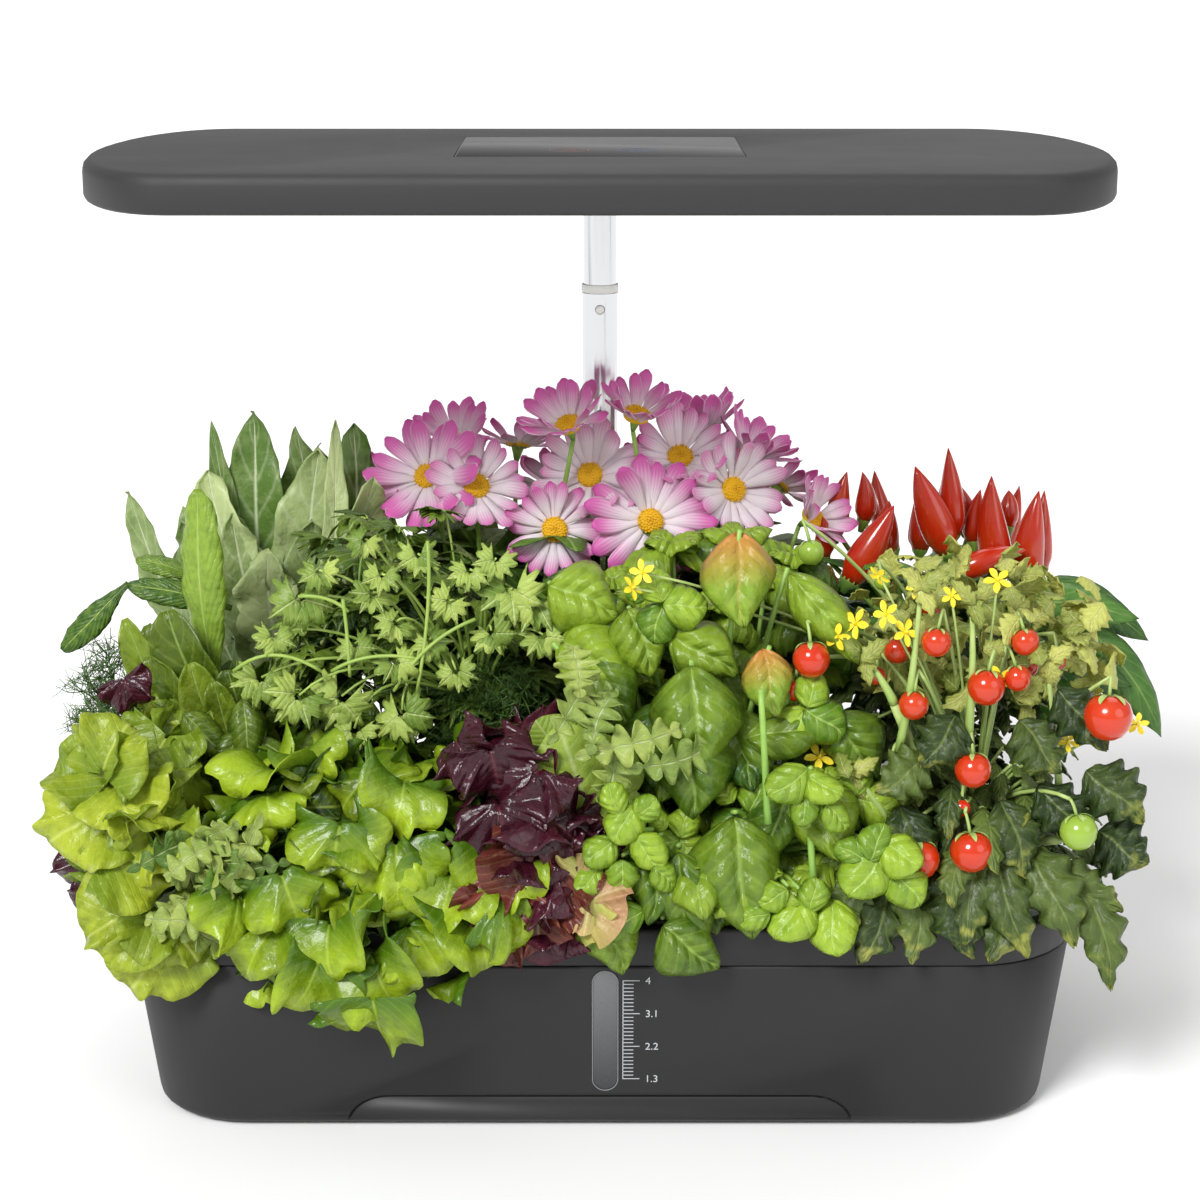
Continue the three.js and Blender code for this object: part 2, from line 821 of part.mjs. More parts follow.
// Pump lead: from the pump's top, up beside the hanger and under the deck to the sealed housing.
function pumpLead() {
  const startX = pumpX - pumpHalfX + pumpCorner;
  const turnZ = (pumpTopZ + ledgeLowZ) / 2;
  const runZ = housingLowZ + housingHeight / 4;
  const endY = housingHighY - housingDepthY / 2;
  const route = new THREE.CatmullRomCurve3([
    new THREE.Vector3(startX, pumpY, pumpTopZ + seat),
    new THREE.Vector3(startX, pumpY, turnZ - leadBendDrop),
    new THREE.Vector3(startX, pumpBackY, turnZ),
    new THREE.Vector3(pumpX - hangerHalfX, (pumpBackY + podY[2]) / 2, turnZ),
    new THREE.Vector3(poleX + leadRunX, podY[1] + podHoleRadius * 2, turnZ),
    new THREE.Vector3(poleX + leadPassX, poleY, runZ - leadPassDrop),
    new THREE.Vector3(housingLowX - leadEndRun, endY, runZ),
    new THREE.Vector3(housingLowX - seat, endY, runZ),
  ]);
  const section = new THREE.Shape();
  section.absarc(0, 0, leadRadius, 0, Math.PI * 2, false);
  return new THREE.ExtrudeGeometry(section, { steps: 24, extrudePath: route, curveSegments: 3 });
}

deckGroup.add(named("pump_lead", pumpLead(), black));

// Lamp head outline: straight front and back, half-elliptical ends.
const headEndSteps = 20;

function headRing(inset, z) {
  const ring = [];
  for (const side of [1, -1]) {
    for (let step = 0; step <= headEndSteps; step += 1) {
      const angle = (step / headEndSteps - 1 / 2) * Math.PI;
      const x = headHalfX - headEndX + (headEndX - inset) * Math.cos(angle);
      const y = (headHalfY - inset) * Math.sin(angle);
      ring.push(new THREE.Vector3(side * x, side * y, z));
    }
  }
  return ring;
}

const ceilingZ = headTopZ - headCeiling;
const coverLowZ = headBottomZ + coverSink;
const coverHighZ = coverLowZ + coverThickness;
const postPlaces = [
  [-postX, -postY],
  [postX, -postY],
  [-postX, postY],
  [postX, postY],
];

function headTopCover() {
  const rings = [headRing(headWall, ceilingZ), headRing(headWall, headBottomZ)];
  for (const [inset, drop] of roundEdge(headLowFillet, 2).reverse()) {
    if (inset < headWall) rings.push(headRing(inset, headBottomZ + drop));
  }
  for (const [inset, drop] of roundEdge(headTopFillet, 3)) rings.push(headRing(inset, headTopZ - drop));
  const posts = postPlaces.map(([x, y]) =>
    rod(postRadius, coverHighZ + seat, ceilingZ + headCeiling / 2, x, y, 16),
  );
  const bosses = [];
  for (const x of [-controlHalfX + bossMargin, controlHalfX - bossMargin]) {
    for (const y of [controlLowY + bossMargin, controlHighY - bossMargin]) {
      bosses.push(rod(bossRadius, ceilingZ - bossHeight, ceilingZ + seat, x, y, 12));
    }
  }
  const pocket = block(
    -panelHalfX - seat,
    panelHalfX + seat,
    panelLowY - seat,
    panelHighY + seat,
    headTopZ - panelThickness - seat,
    headTopZ + overrun,
  );
  const threads = postPlaces.map(([x, y]) =>
    bore(screwRadius + screwClearance, coverLowZ, coverLowZ + screwLength + seat, x, y, 10),
  );
  return cut(join(loft(rings), ...posts, ...bosses), pocket, ...threads);
}

lampGroup.add(named("head_top_cover", headTopCover(), headGrey));

const touchPanel = slab(
  -panelHalfX,
  panelHalfX,
  panelLowY,
  panelHighY,
  headTopZ - panelThickness,
  headTopZ,
  panelCorner,
);
lampGroup.add(named("touch_panel", touchPanel, panelGrey));

// Bottom cover: a plate inside the skirt of the top cover, open under the light board.
function headBottomCover() {
  const inset = headWall + seat;
  const plate = loft([headRing(inset, coverLowZ), headRing(inset, coverHighZ)]);
  const light = slab(
    -lightHalfX,
    lightHalfX,
    lightLowY,
    lightHighY,
    coverLowZ - overrun,
    coverHighZ + overrun,
    lightCorner,
  );
  const [low, high] = [coverLowZ - overrun, coverHighZ + overrun];
  const poleHole = bore(upperTubeRadius + poleClearance, low, high, poleX, poleY);
  const holes = postPlaces.map(([x, y]) => bore(screwRadius + screwClearance, low, high, x, y, 10));
  return cut(plate, light, poleHole, ...holes);
}

lampGroup.add(named("head_bottom_cover", headBottomCover(), headGrey));

const boardLowZ = coverHighZ + seat;

function ledBoard() {
  const board = block(
    -lightHalfX - boardMargin,
    lightHalfX + boardMargin,
    lightLowY - boardMargin,
    lightHighY + boardMargin,
    boardLowZ,
    boardLowZ + boardThickness,
  );
  const chips = [];
  for (let i = 0; i < chipColumns; i += 1) {
    for (let j = 0; j < chipRows; j += 1) {
      const chipReach = lightHalfX - chipMargin;
      const x = THREE.MathUtils.lerp(-chipReach, chipReach, i / (chipColumns - 1));
      const y = THREE.MathUtils.lerp(lightLowY + chipMargin, lightHighY - chipMargin, j / (chipRows - 1));
      const half = chipSize / 2;
      chips.push(block(x - half, x + half, y - half, y + half, boardLowZ - chipHeight, boardLowZ + seat));
    }
  }
  return join(board, ...chips);
}

lampGroup.add(named("led_board", ledBoard(), boardWhite));

const controlTopZ = ceilingZ - bossHeight - seat;
const controlBoard = block(
  -controlHalfX,
  controlHalfX,
  controlLowY,
  controlHighY,
  controlTopZ - boardThickness,
  controlTopZ,
);
lampGroup.add(named("control_board", controlBoard, boardGreen));

// Bracket in the head that grips the top of the upper tube.
const bracketTopZ = ceilingZ - seat;
const bracketBoreZ = bracketTopZ - bracketRoof;
const bracketBore = (upperTubeRadius + poleClearance) / Math.cos(Math.PI / socketSides);
const bracket = revolve(
  [
    [0, bracketBoreZ],
    [bracketBore, bracketBoreZ],
    [bracketBore, boardLowZ],
    [bracketRadius, boardLowZ],
    [bracketRadius, bracketTopZ],
    [0, bracketTopZ],
  ],
  socketSides,
).translate(poleX, poleY, 0);
lampGroup.add(named("head_bracket", bracket, black));

// Upper tube, with a lock hole behind the button.
const upperTubeLowZ = buttonZ - tubeEndMargin;

function upperTube() {
  const shaft = tube(upperTubeRadius, upperTubeWall, upperTubeLowZ, bracketBoreZ - seat);
  const lowY = poleY - upperTubeRadius - overrun;
  return cut(shaft, crossRod(lockHoleRadius, lowY, poleY - overrun, poleX, buttonZ));
}

lampGroup.add(named("upper_tube", upperTube(), tubeMetal));

postPlaces.forEach(([x, y], i) => {
  const headTop = coverLowZ - seat;
  const screw = revolve(
    [
      [0, headTop - screwHeadHeight],
      [screwHeadRadius - buttonRim, headTop - screwHeadHeight],
      [screwHeadRadius, headTop - screwHeadHeight / 2],
      [screwHeadRadius, headTop],
      [screwRadius, headTop],
      [screwRadius, coverLowZ + screwLength],
      [0, coverLowZ + screwLength],
    ],
    8,
  ).translate(x, y, 0);
  lampGroup.add(named(`lamp_screw_${i + 1}`, screw, steel));
});

// Grow basket: a tapered cup with a flange, slots in its wall and a hole in its floor.
const basketFlangeZ = deckTopZ + seat;
const basketTopZ = basketFlangeZ + flangeThickness;
const basketLowZ = basketTopZ - basketHeight;
const basketSides = 10;

function basket() {
  const cup = revolve(
    [
      [basketHoleRadius, basketLowZ],
      [basketLowRadius, basketLowZ],
      [basketTopRadius, basketFlangeZ],
      [flangeRadius, basketFlangeZ],
      [flangeRadius, basketTopZ],
      [basketTopRadius - basketWall, basketTopZ],
      [basketLowRadius - basketWall, basketLowZ + basketWall],
      [basketHoleRadius, basketLowZ + basketWall],
    ],
    basketSides,
  );
  const slots = [];
  for (let i = 0; i < slotPairs; i += 1) {
    const slot = block(
      -basketTopRadius - overrun,
      basketTopRadius + overrun,
      -slotWidth / 2,
      slotWidth / 2,
      basketLowZ + basketWall + slotWidth,
      basketLowZ + basketWall + slotWidth + slotHeight,
    );
    slots.push(slot.rotateZ(((i + 1 / 2) / slotPairs) * Math.PI));
  }
  return cut(cup, ...slots);
}

const basketShape = basket();
const rowNames = ["front", "middle", "back"];
pods.forEach(([x, y], i) => {
  const name = `basket_${rowNames[Math.floor(i / podX.length)]}_${(i % podX.length) + 1}`;
  const mesh = named(name, basketShape, white);
  mesh.position.set(x, y, 0);
  deckGroup.add(mesh);
});

// Plants. Each fills its own space over the deck: a round heart, and leaves that lie on it out to a dome.
const goldenAngle = Math.PI * (3 - Math.sqrt(5));
const heartSides = 10;
const heartBands = 6;
const crownLevelShare = 0.95;
const domePower = 0.36; // 1/2 is an ellipsoid, less is a fuller dome

// A leaf as a pointed, flattened ball from its foot to its tip.
function leaf(foot, tip, width) {
  const shape = new THREE.SphereGeometry(1 / 2, 4, 3).rotateZ(Math.PI / 2).translate(1 / 2, 0, 0);
  const run = tip.clone().sub(foot);
  shape.scale(run.length(), width, leafThickness);
  shape.rotateY(-Math.atan2(run.z, Math.hypot(run.x, run.y))).rotateZ(Math.atan2(run.y, run.x));
  return shape.translate(...foot);
}

function stalk(from, to, radius) {
  const length = from.distanceTo(to);
  const shape = new THREE.CylinderGeometry(radius, radius, length, 4).translate(0, length / 2, 0);
  const way = to.clone().sub(from).normalize();
  const turn = new THREE.Quaternion().setFromUnitVectors(new THREE.Vector3(0, 1, 0), way);
  return shape.applyQuaternion(turn).translate(...from);
}

// A place in a plant's space, by heading, by level from its skirt (-1) to its crown (1), and by depth.
function onDome(space, form, heading, level, depthShare) {
  const ring = (1 - level * level) ** domePower * depthShare;
  const rise = level > 0 ? form.crownShare - form.waistShare : form.waistShare;
  return new THREE.Vector3(
    space.halfX * ring * Math.cos(heading),
    space.halfY * ring * Math.sin(heading),
    space.height * (form.waistShare + rise * level * depthShare),
  );
}

function heartOf(space, form) {
  const profile = [];
  for (let band = 0; band <= heartBands; band += 1) {
    const level = Math.sin((band / heartBands - 1 / 2) * Math.PI);
    const { x, z } = onDome({ ...space, halfX: 1 }, form, 0, level, form.heartShare);
    profile.push([band % heartBands ? x : 0, z]);
  }
  return revolve(profile, heartSides).scale(space.halfX, space.halfY, 1);
}

function canopy(space, form) {
  const pieces = [heartOf(space, form)];
  for (let i = 0; i < form.leaves; i += 1) {
    const rise = (i + 1 / 2) / form.leaves;
    const level = THREE.MathUtils.lerp(form.skirtShare, crownLevelShare, rise);
    const footLevel = Math.min(level + form.droopShare, 1);
    const foot = onDome(space, form, i * goldenAngle, footLevel, form.footShare);
    const tip = onDome(space, form, i * goldenAngle, level, 1);
    pieces.push(leaf(foot, tip, form.widthShare * space.halfX));
  }
  return pieces;
}

// What a plant bears on stalks: flowers or fruit, each by heading in turns and by level.
function borne(space, form, bearingShares, make) {
  const middle = onDome(space, form, 0, 0, 0);
  return bearingShares.flatMap(([turns, level]) => {
    const heading = turns * Math.PI * 2;
    const place = onDome(space, form, heading, level, form.bearingShare);
    return [stalk(middle, place, stalkRadius), make(place, heading, level)];
  });
}

// Forms as shares of a plant's space: waist, crown and heart, and the foot, droop and width of its leaves.
const lowForm = { waistShare: 0.15, crownShare: 1, heartShare: 0.86, skirtShare: -0.2 };
const tallForm = { ...lowForm, heartShare: 0.66, skirtShare: 0.1, footShare: 0.2, droopShare: 0 };
const forms = {
  lettuce: { ...lowForm, leaves: 10, footShare: 0.7, droopShare: 0.35, widthShare: 0.85 },
  redLettuce: { ...lowForm, leaves: 12, footShare: 0.7, droopShare: 0.35, widthShare: 0.85 },
  basil: { ...lowForm, leaves: 14, footShare: 0.76, droopShare: 0.4, widthShare: 0.5 },
  cilantro: { ...lowForm, leaves: 15, footShare: 0.76, droopShare: 0.3, widthShare: 0.42 },
  tomato: { ...lowForm, leaves: 12, footShare: 0.76, droopShare: 0.35, widthShare: 0.4, bearingShare: 0.94 },
  romaine: { ...tallForm, leaves: 12, widthShare: 0.4 },
  endive: { ...tallForm, leaves: 17, widthShare: 0.3 },
  chrysanthemum: {
    waistShare: 0.3,
    crownShare: 0.78,
    heartShare: 0.86,
    skirtShare: -0.5,
    leaves: 10,
    footShare: 0.76,
    droopShare: 0.35,
    widthShare: 0.5,
  },
  blossom: { waistShare: 0.3, crownShare: 0.97, bearingShare: 0.96 },
  chili: {
    waistShare: 0.38,
    crownShare: 0.76,
    heartShare: 0.86,
    skirtShare: -0.6,
    leaves: 14,
    footShare: 0.76,
    droopShare: 0.4,
    widthShare: 0.34,
    bearingShare: 0.7,
  },
};

// Two heads of lettuce side by side.
function lettucePair(space) {
  const half = { ...space, halfX: space.halfX / 2 };
  const heads = [-1, 1].map((side) =>
    canopy(half, forms.lettuce).map((piece) => piece.translate(side * half.halfX, 0, 0)),
  );
  return [...heads.flat(), heartOf({ ...space, height: space.height / 2 }, forms.lettuce)];
}

// A flower as a star of pointed rays that faces out of the bush.
const flowerPoints = 14;
const flowerNotchShare = 0.6;

function flower(place, heading, level) {
  const outline = new THREE.Shape();
  for (let i = 0; i < flowerPoints; i += 1) {
    const reach = i % 2 ? flowerRadius * flowerNotchShare : flowerRadius;
    const angle = (i / flowerPoints) * Math.PI * 2;
    outline[i ? "lineTo" : "moveTo"](reach * Math.cos(angle), reach * Math.sin(angle));
  }
  outline.closePath();
  const rays = new THREE.ExtrudeGeometry(outline, { depth: flowerThickness, bevelEnabled: false });
  rays.translate(0, 0, -flowerThickness / 2).rotateY(Math.acos(level));
  return rays.rotateZ(heading).translate(...place);
}

const blossomShares = [
  [0.6, 0.8],
  [0.71, 0.62],
  [0.82, 0.7],
  [0.94, 0.8],
  [0.15, 0.74],
  [0.38, 0.74],
];

function chrysanthemum(space) {
  const leaves = canopy(space, forms.chrysanthemum);
  return [...leaves, ...borne(space, forms.blossom, blossomShares, flower)];
}

const tomatoShares = [
  [0.62, 0.3],
  [0.7, 0.05],
  [0.76, 0.5],
  [0.85, 0.2],
  [0.92, 0.55],
];

function tomatoPlant(space) {
  const fruit = (place) => new THREE.SphereGeometry(tomatoRadius, 6, 4).translate(...place);
  return [...canopy(space, forms.tomato), ...borne(space, forms.tomato, tomatoShares, fruit)];
}

const chiliShares = [
  [0.5, 0.55],
  [0.6, 0.75],
  [0.7, 0.6],
  [0.8, 0.8],
  [0.9, 0.55],
  [0.05, 0.7],
  [0.25, 0.75],
];
const chiliProfileShares = [
  [0, 0],
  [0.9, 0.06],
  [1, 0.45],
  [0, 1],
];

// A chili that stands up out of the bush and leans a little away from its middle.
function chili(place, heading) {
  const points = chiliProfileShares.map(([r, h]) => new THREE.Vector2(r * chiliRadius, h * chiliLength));
  const fruit = new THREE.LatheGeometry(points, 6).rotateX(Math.PI / 2);
  return fruit.rotateY(chiliLean).rotateZ(heading).translate(...place);
}

function chiliPlant(space) {
  return [...canopy(space, forms.chili), ...borne(space, forms.chili, chiliShares, chili)];
}

const herb = (form) => (space) => canopy(space, form);

// Columns of one row: the space from one border to the next, less the gap.
function columns(borders) {
  const edges = [-reachX, ...borders, reachX];
  return podX.map((_, i) => [
    edges[i] + (i ? canopyGap / 2 : 0),
    edges[i + 1] - (i < podX.length - 1 ? canopyGap / 2 : 0),
  ]);
}

const rowSpaces = [
  { y: [-reachY, frontBorderY - canopyGap / 2], x: columns(frontBordersX) },
  { y: [frontBorderY + canopyGap / 2, backBorderY - canopyGap / 2], x: columns(middleBordersX) },
  { y: [backBorderY + canopyGap / 2, reachY], x: columns(backBordersX) },
];
rowSpaces[2].x[1][1] = poleX - poleGap;
rowSpaces[2].x[2][0] = poleX + poleGap;

// The plants in the order of the pods.
const plants = [
  { name: "plant_front_lettuce", topZ: lettuceTopZ, color: 0x7fb52c, grow: lettucePair },
  { name: "plant_front_red_lettuce", topZ: redLettuceTopZ, color: 0x4a1f2e, grow: herb(forms.redLettuce) },
  { name: "plant_front_basil", topZ: frontBasilTopZ, color: 0x6fa630, grow: herb(forms.basil) },
  { name: "plant_front_tomato", topZ: frontTomatoTopZ, color: 0x5d8a35, grow: tomatoPlant },
  { name: "plant_middle_romaine", topZ: romaineTopZ, color: 0x5f8f33, grow: herb(forms.romaine) },
  { name: "plant_middle_cilantro", topZ: cilantroTopZ, color: 0x5a8a30, grow: herb(forms.cilantro) },
  { name: "plant_middle_basil", topZ: middleBasilTopZ, color: 0x7aad38, grow: herb(forms.basil) },
  { name: "plant_middle_tomato", topZ: middleTomatoTopZ, color: 0x668f3a, grow: tomatoPlant },
  { name: "plant_back_endive", topZ: endiveTopZ, color: 0x8aa65c, grow: herb(forms.endive) },
  { name: "plant_back_chrysanthemum_1", topZ: leftFlowersTopZ, color: 0xd94fb4, grow: chrysanthemum },
  { name: "plant_back_chrysanthemum_2", topZ: rightFlowersTopZ, color: 0xd94fb4, grow: chrysanthemum },
  { name: "plant_back_chili", topZ: chiliTopZ, color: 0xd81f14, grow: chiliPlant },
];

// Sponge and stem that carry a canopy: the sponge fills the basket, the stem leans to the canopy's middle.
const spongeTopZ = deckTopZ;
const spongeLowZ = basketLowZ + basketWall + seat;
const stemShare = 0.3;

// Inner radius of the basket at a height, less the sponge's clearance.
function spongeRadius(z) {
  const outer = THREE.MathUtils.mapLinear(z, basketLowZ, basketFlangeZ, basketLowRadius, basketTopRadius);
  return outer - basketWall - spongeClearance;
}

const grownSponge = revolve(
  [
    [0, spongeLowZ],
    [spongeRadius(spongeLowZ), spongeLowZ],
    [spongeRadius(spongeTopZ), spongeTopZ],
    [0, spongeTopZ],
  ],
  basketSides,
);

// Joins a plant's pieces and fits them to their space. The middle is where its own axis comes to stand.
function fitted(pieces, [lowX, highX], [lowY, highY], lowZ, highZ) {
  const shape = join(...pieces);
  const { min, max } = new THREE.Box3().setFromBufferAttribute(shape.getAttribute("position"));
  const size = max.clone().sub(min);
  shape.translate(-min.x, -min.y, -min.z);
  shape.scale((highX - lowX) / size.x, (highY - lowY) / size.y, (highZ - lowZ) / size.z);
  const root = [-min.x / size.x, -min.y / size.y];
  const middle = [lowX + root[0] * (highX - lowX), lowY + root[1] * (highY - lowY)];
  return { shape: shape.translate(lowX, lowY, lowZ), middle };
}

plants.forEach(({ name, topZ, color, grow }, i) => {
  const row = rowSpaces[Math.floor(i / podX.length)];
  const [lowX, highX] = row.x[i % podX.length];
  const [lowY, highY] = row.y;
  const [x, y] = pods[i];
  const lowZ = rimZ + canopyLift;
  const space = { halfX: (highX - lowX) / 2, halfY: (highY - lowY) / 2, height: topZ - lowZ };
  const { shape, middle } = fitted(grow(space), [lowX, highX], [lowY, highY], lowZ, topZ);
  const sponge = grownSponge.clone().translate(x, y, 0);
  const foot = new THREE.Vector3(x, y, spongeTopZ - stemRadius);
  const head = new THREE.Vector3(...middle, THREE.MathUtils.lerp(lowZ, topZ, stemShare));
  const plant = join(sponge, stalk(foot, head, stemRadius), shape);
  deckGroup.add(named(name, plant, { color, roughness: 0.6, metalness: 0 }));
});

export default garden;
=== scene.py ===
import json
import math

import bpy
import numpy as np
from mathutils import Matrix, Vector


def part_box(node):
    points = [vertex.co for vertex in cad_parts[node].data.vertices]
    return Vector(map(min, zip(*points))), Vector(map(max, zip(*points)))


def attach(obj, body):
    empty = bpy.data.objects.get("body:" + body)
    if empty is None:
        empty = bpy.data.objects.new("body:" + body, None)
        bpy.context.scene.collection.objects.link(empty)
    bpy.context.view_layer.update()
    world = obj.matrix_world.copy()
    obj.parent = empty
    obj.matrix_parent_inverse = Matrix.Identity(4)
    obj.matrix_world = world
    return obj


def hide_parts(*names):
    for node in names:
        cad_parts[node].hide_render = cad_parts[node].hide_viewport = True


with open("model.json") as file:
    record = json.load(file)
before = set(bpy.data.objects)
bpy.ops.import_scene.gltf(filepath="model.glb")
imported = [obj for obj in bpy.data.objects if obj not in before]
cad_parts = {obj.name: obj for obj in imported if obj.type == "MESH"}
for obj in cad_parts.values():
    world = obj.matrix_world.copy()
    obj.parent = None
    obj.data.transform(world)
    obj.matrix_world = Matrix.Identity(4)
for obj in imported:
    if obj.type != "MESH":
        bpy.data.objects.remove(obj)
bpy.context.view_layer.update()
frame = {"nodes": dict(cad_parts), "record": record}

# Camera: a long lens a little above the lamp, looking down at the plants from the front.
# It frames the garden as the photograph does, from the lamp head down to the tank's feet.
MM = 0.001
camera_place = (0, -1056 * MM, 464 * MM)
camera_pitch = math.radians(90 - 14.683)
camera_lens, camera_sensor = 79.8, 36
camera_reach = 50

bpy.ops.object.select_all(action="DESELECT")
bpy.ops.object.camera_add(location=camera_place, rotation=(camera_pitch, 0, 0))
camera = bpy.context.object
camera.data.lens = camera_lens
camera.data.sensor_width = camera_sensor
camera.data.clip_end = camera_reach
bpy.context.scene.camera = camera


# Studio: a wide, flat white floor, with soft sun lamps above, left and right.
# White card all round gives the tube and the glossy panel their broad, pale reflections.
def paint(code):
    """An sRGB hex colour as linear red, green, blue and alpha."""
    shares = [int(code[i : i + 2], 16) / 255 for i in (1, 3, 5)]
    return [s / 12.92 if s <= 0.04045 else ((s + 0.055) / 1.055) ** 2.4 for s in shares] + [1.0]


def add(tree, kind, sockets=None, **settings):
    """Adds a node. A socket takes a plain value, or a link where the value is another node's socket."""
    made = tree.nodes.new(kind)
    for name, value in settings.items():
        setattr(made, name, value)
    for name, value in (sockets or {}).items():
        if isinstance(value, bpy.types.NodeSocket):
            tree.links.new(value, made.inputs[name])
        else:
            made.inputs[name].default_value = value
    return made


def blank(name):
    """A new material without nodes."""
    material = bpy.data.materials.new(name)
    material.use_nodes = True
    material.node_tree.nodes.clear()
    return material, material.node_tree


def surface(tree, sockets):
    """Ends a material in one principled shader."""
    shader = add(tree, "ShaderNodeBsdfPrincipled", sockets)
    add(tree, "ShaderNodeOutputMaterial", {"Surface": shader.outputs[0]})


# The camera sees pure white, while the walls of the room light the garden more softly.
seen_light, room_light = 1.0, 0.5
scene = bpy.context.scene
scene.view_settings.view_transform = "Standard"
scene.world = bpy.data.worlds.new("studio")
scene.world.use_nodes = True
air = scene.world.node_tree
air.nodes.clear()
seen = add(air, "ShaderNodeBackground", {"Color": paint("#ffffff"), "Strength": seen_light})
lit = add(air, "ShaderNodeBackground", {"Color": paint("#ffffff"), "Strength": room_light})
ray = add(air, "ShaderNodeLightPath")
mixed = add(
    air, "ShaderNodeMixShader", {0: ray.outputs["Is Camera Ray"], 1: lit.outputs[0], 2: seen.outputs[0]}
)
add(air, "ShaderNodeOutputWorld", {"Surface": mixed.outputs[0]})

floor_size = 40
bpy.ops.mesh.primitive_plane_add(size=floor_size)
floor = bpy.context.object
floor.name = "floor"
material, tree = blank("floor paper")
surface(tree, {"Base Color": paint("#f8f8f8"), "Roughness": 0.9, "Specular IOR Level": 0.1})
floor.data.materials.append(material)

# Each soft light comes from a way, with a strength and a width in degrees.
soft_lights = [((-0.5, -0.8, 0.8), 3.0, 20), ((0.8, -0.7, 0.5), 0.6, 40), ((0.1, 0.6, 0.9), 0.7, 50)]
for way, strength, width in soft_lights:
    bpy.ops.object.light_add(type="SUN", rotation=Vector(way).to_track_quat("Z", "Y").to_euler())
    bpy.context.object.data.energy = strength
    bpy.context.object.data.angle = math.radians(width)


# Tank: one cup of injection-moulded ABS in charcoal, with a satin, very finely spark-eroded skin.
# Its wall slopes out to the rim; the grip arch is a fine groove at the foot of the wall.
cloud_size = 45  # mm


def moulded(name, colour, roughness=0.5, grain=0.5, depth=0.02, streak=1.0):
    """Moulded plastic: fine skin grain of a size and depth in mm, and a faint cloud in colour and gloss."""
    material, tree = blank(name)
    place = add(tree, "ShaderNodeTexCoord").outputs["Object"]
    drawn = add(tree, "ShaderNodeMapping", {"Vector": place, "Scale": (1.0 / streak, 1.0, 1.0)})
    skin = add(
        tree, "ShaderNodeTexNoise", {"Vector": drawn.outputs[0], "Scale": 1 / (grain * MM), "Detail": 3.0}
    )
    cloud = add(tree, "ShaderNodeTexNoise", {"Vector": place, "Scale": 1 / (cloud_size * MM), "Detail": 2.0})
    tone = add(tree, "ShaderNodeMapRange", {0: cloud.outputs["Fac"], 1: 0.3, 2: 0.7, 3: 0.93, 4: 1.07})
    fleck = add(tree, "ShaderNodeMapRange", {0: skin.outputs["Fac"], 1: 0.3, 2: 0.7, 3: 0.94, 4: 1.06})
    both = add(tree, "ShaderNodeMath", {0: tone.outputs[0], 1: fleck.outputs[0]}, operation="MULTIPLY")
    colour = add(
        tree, "ShaderNodeVectorMath", {0: paint(colour)[:3], "Scale": both.outputs[0]}, operation="SCALE"
    )
    low, high = roughness - 0.04, roughness + 0.04
    dull = add(tree, "ShaderNodeMapRange", {0: cloud.outputs["Fac"], 1: 0.3, 2: 0.7, 3: low, 4: high})
    bump = add(
        tree, "ShaderNodeBump", {"Height": skin.outputs["Fac"], "Distance": depth * MM, "Strength": 0.6}
    )
    sockets = {"Base Color": colour.outputs[0], "Roughness": dull.outputs[0], "Normal": bump.outputs[0]}
    surface(tree, sockets | {"IOR": 1.53})
    return material


def body_of(node):
    """The name of the body that a CAD node rides on."""
    for body, members in frame["record"]["behaviour"]["bodies"].items():
        if node in members:
            return body


def slot_of(node):
    """The record's material slot of a CAD node."""
    for part in frame["record"]["subparts"]:
        if part["node"] == node:
            return part["material_slot"]


def carry(piece, body, slot, *nodes):
    """Puts a finished piece on its body, in place of the CAD nodes that it stands for. slot is not used."""
    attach(piece, body)
    if nodes:
        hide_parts(*nodes)


def select(*chosen):
    """Selects these objects alone. The first is active."""
    bpy.ops.object.select_all(action="DESELECT")
    for one in chosen:
        one.select_set(True)
    bpy.context.view_layer.objects.active = chosen[0]


# Corners of a CAD solid closer than the gap in mm are one, and facets flatter than the angle are one face.
weld_gap, flat_angle = 0.005, math.radians(0.5)


def dress(node, material, bevel=0.0, angle=30):
    """A smooth copy of a CAD node: welded, its edges rounded by a bevel in mm, and shaded smooth."""
    piece = bpy.data.objects.new(node + "_skin", frame["nodes"][node].data.copy())
    scene.collection.objects.link(piece)
    select(piece)
    bpy.ops.object.mode_set(mode="EDIT")
    bpy.ops.mesh.select_all(action="SELECT")
    bpy.ops.mesh.remove_doubles(threshold=weld_gap * MM)
    if bevel:
        bpy.ops.mesh.dissolve_limited(angle_limit=flat_angle)
    bpy.ops.object.mode_set(mode="OBJECT")
    if bevel:
        soft = piece.modifiers.new("edge", "BEVEL")
        soft.width = bevel * MM
        soft.segments = 2
        soft.limit_method = "ANGLE"
        soft.angle_limit = math.radians(angle)
        soft.use_clamp_overlap = True
        bpy.ops.object.modifier_apply(modifier="edge")
    bpy.ops.object.shade_smooth_by_angle(angle=math.radians(angle))
    piece.data.materials.clear()
    piece.data.materials.append(material)
    carry(piece, body_of(node), slot_of(node), node)
    return piece


tank_abs = moulded("charcoal ABS of the tank", "#131314", roughness=0.55, grain=0.35)
dress("tank_shell", tank_abs)

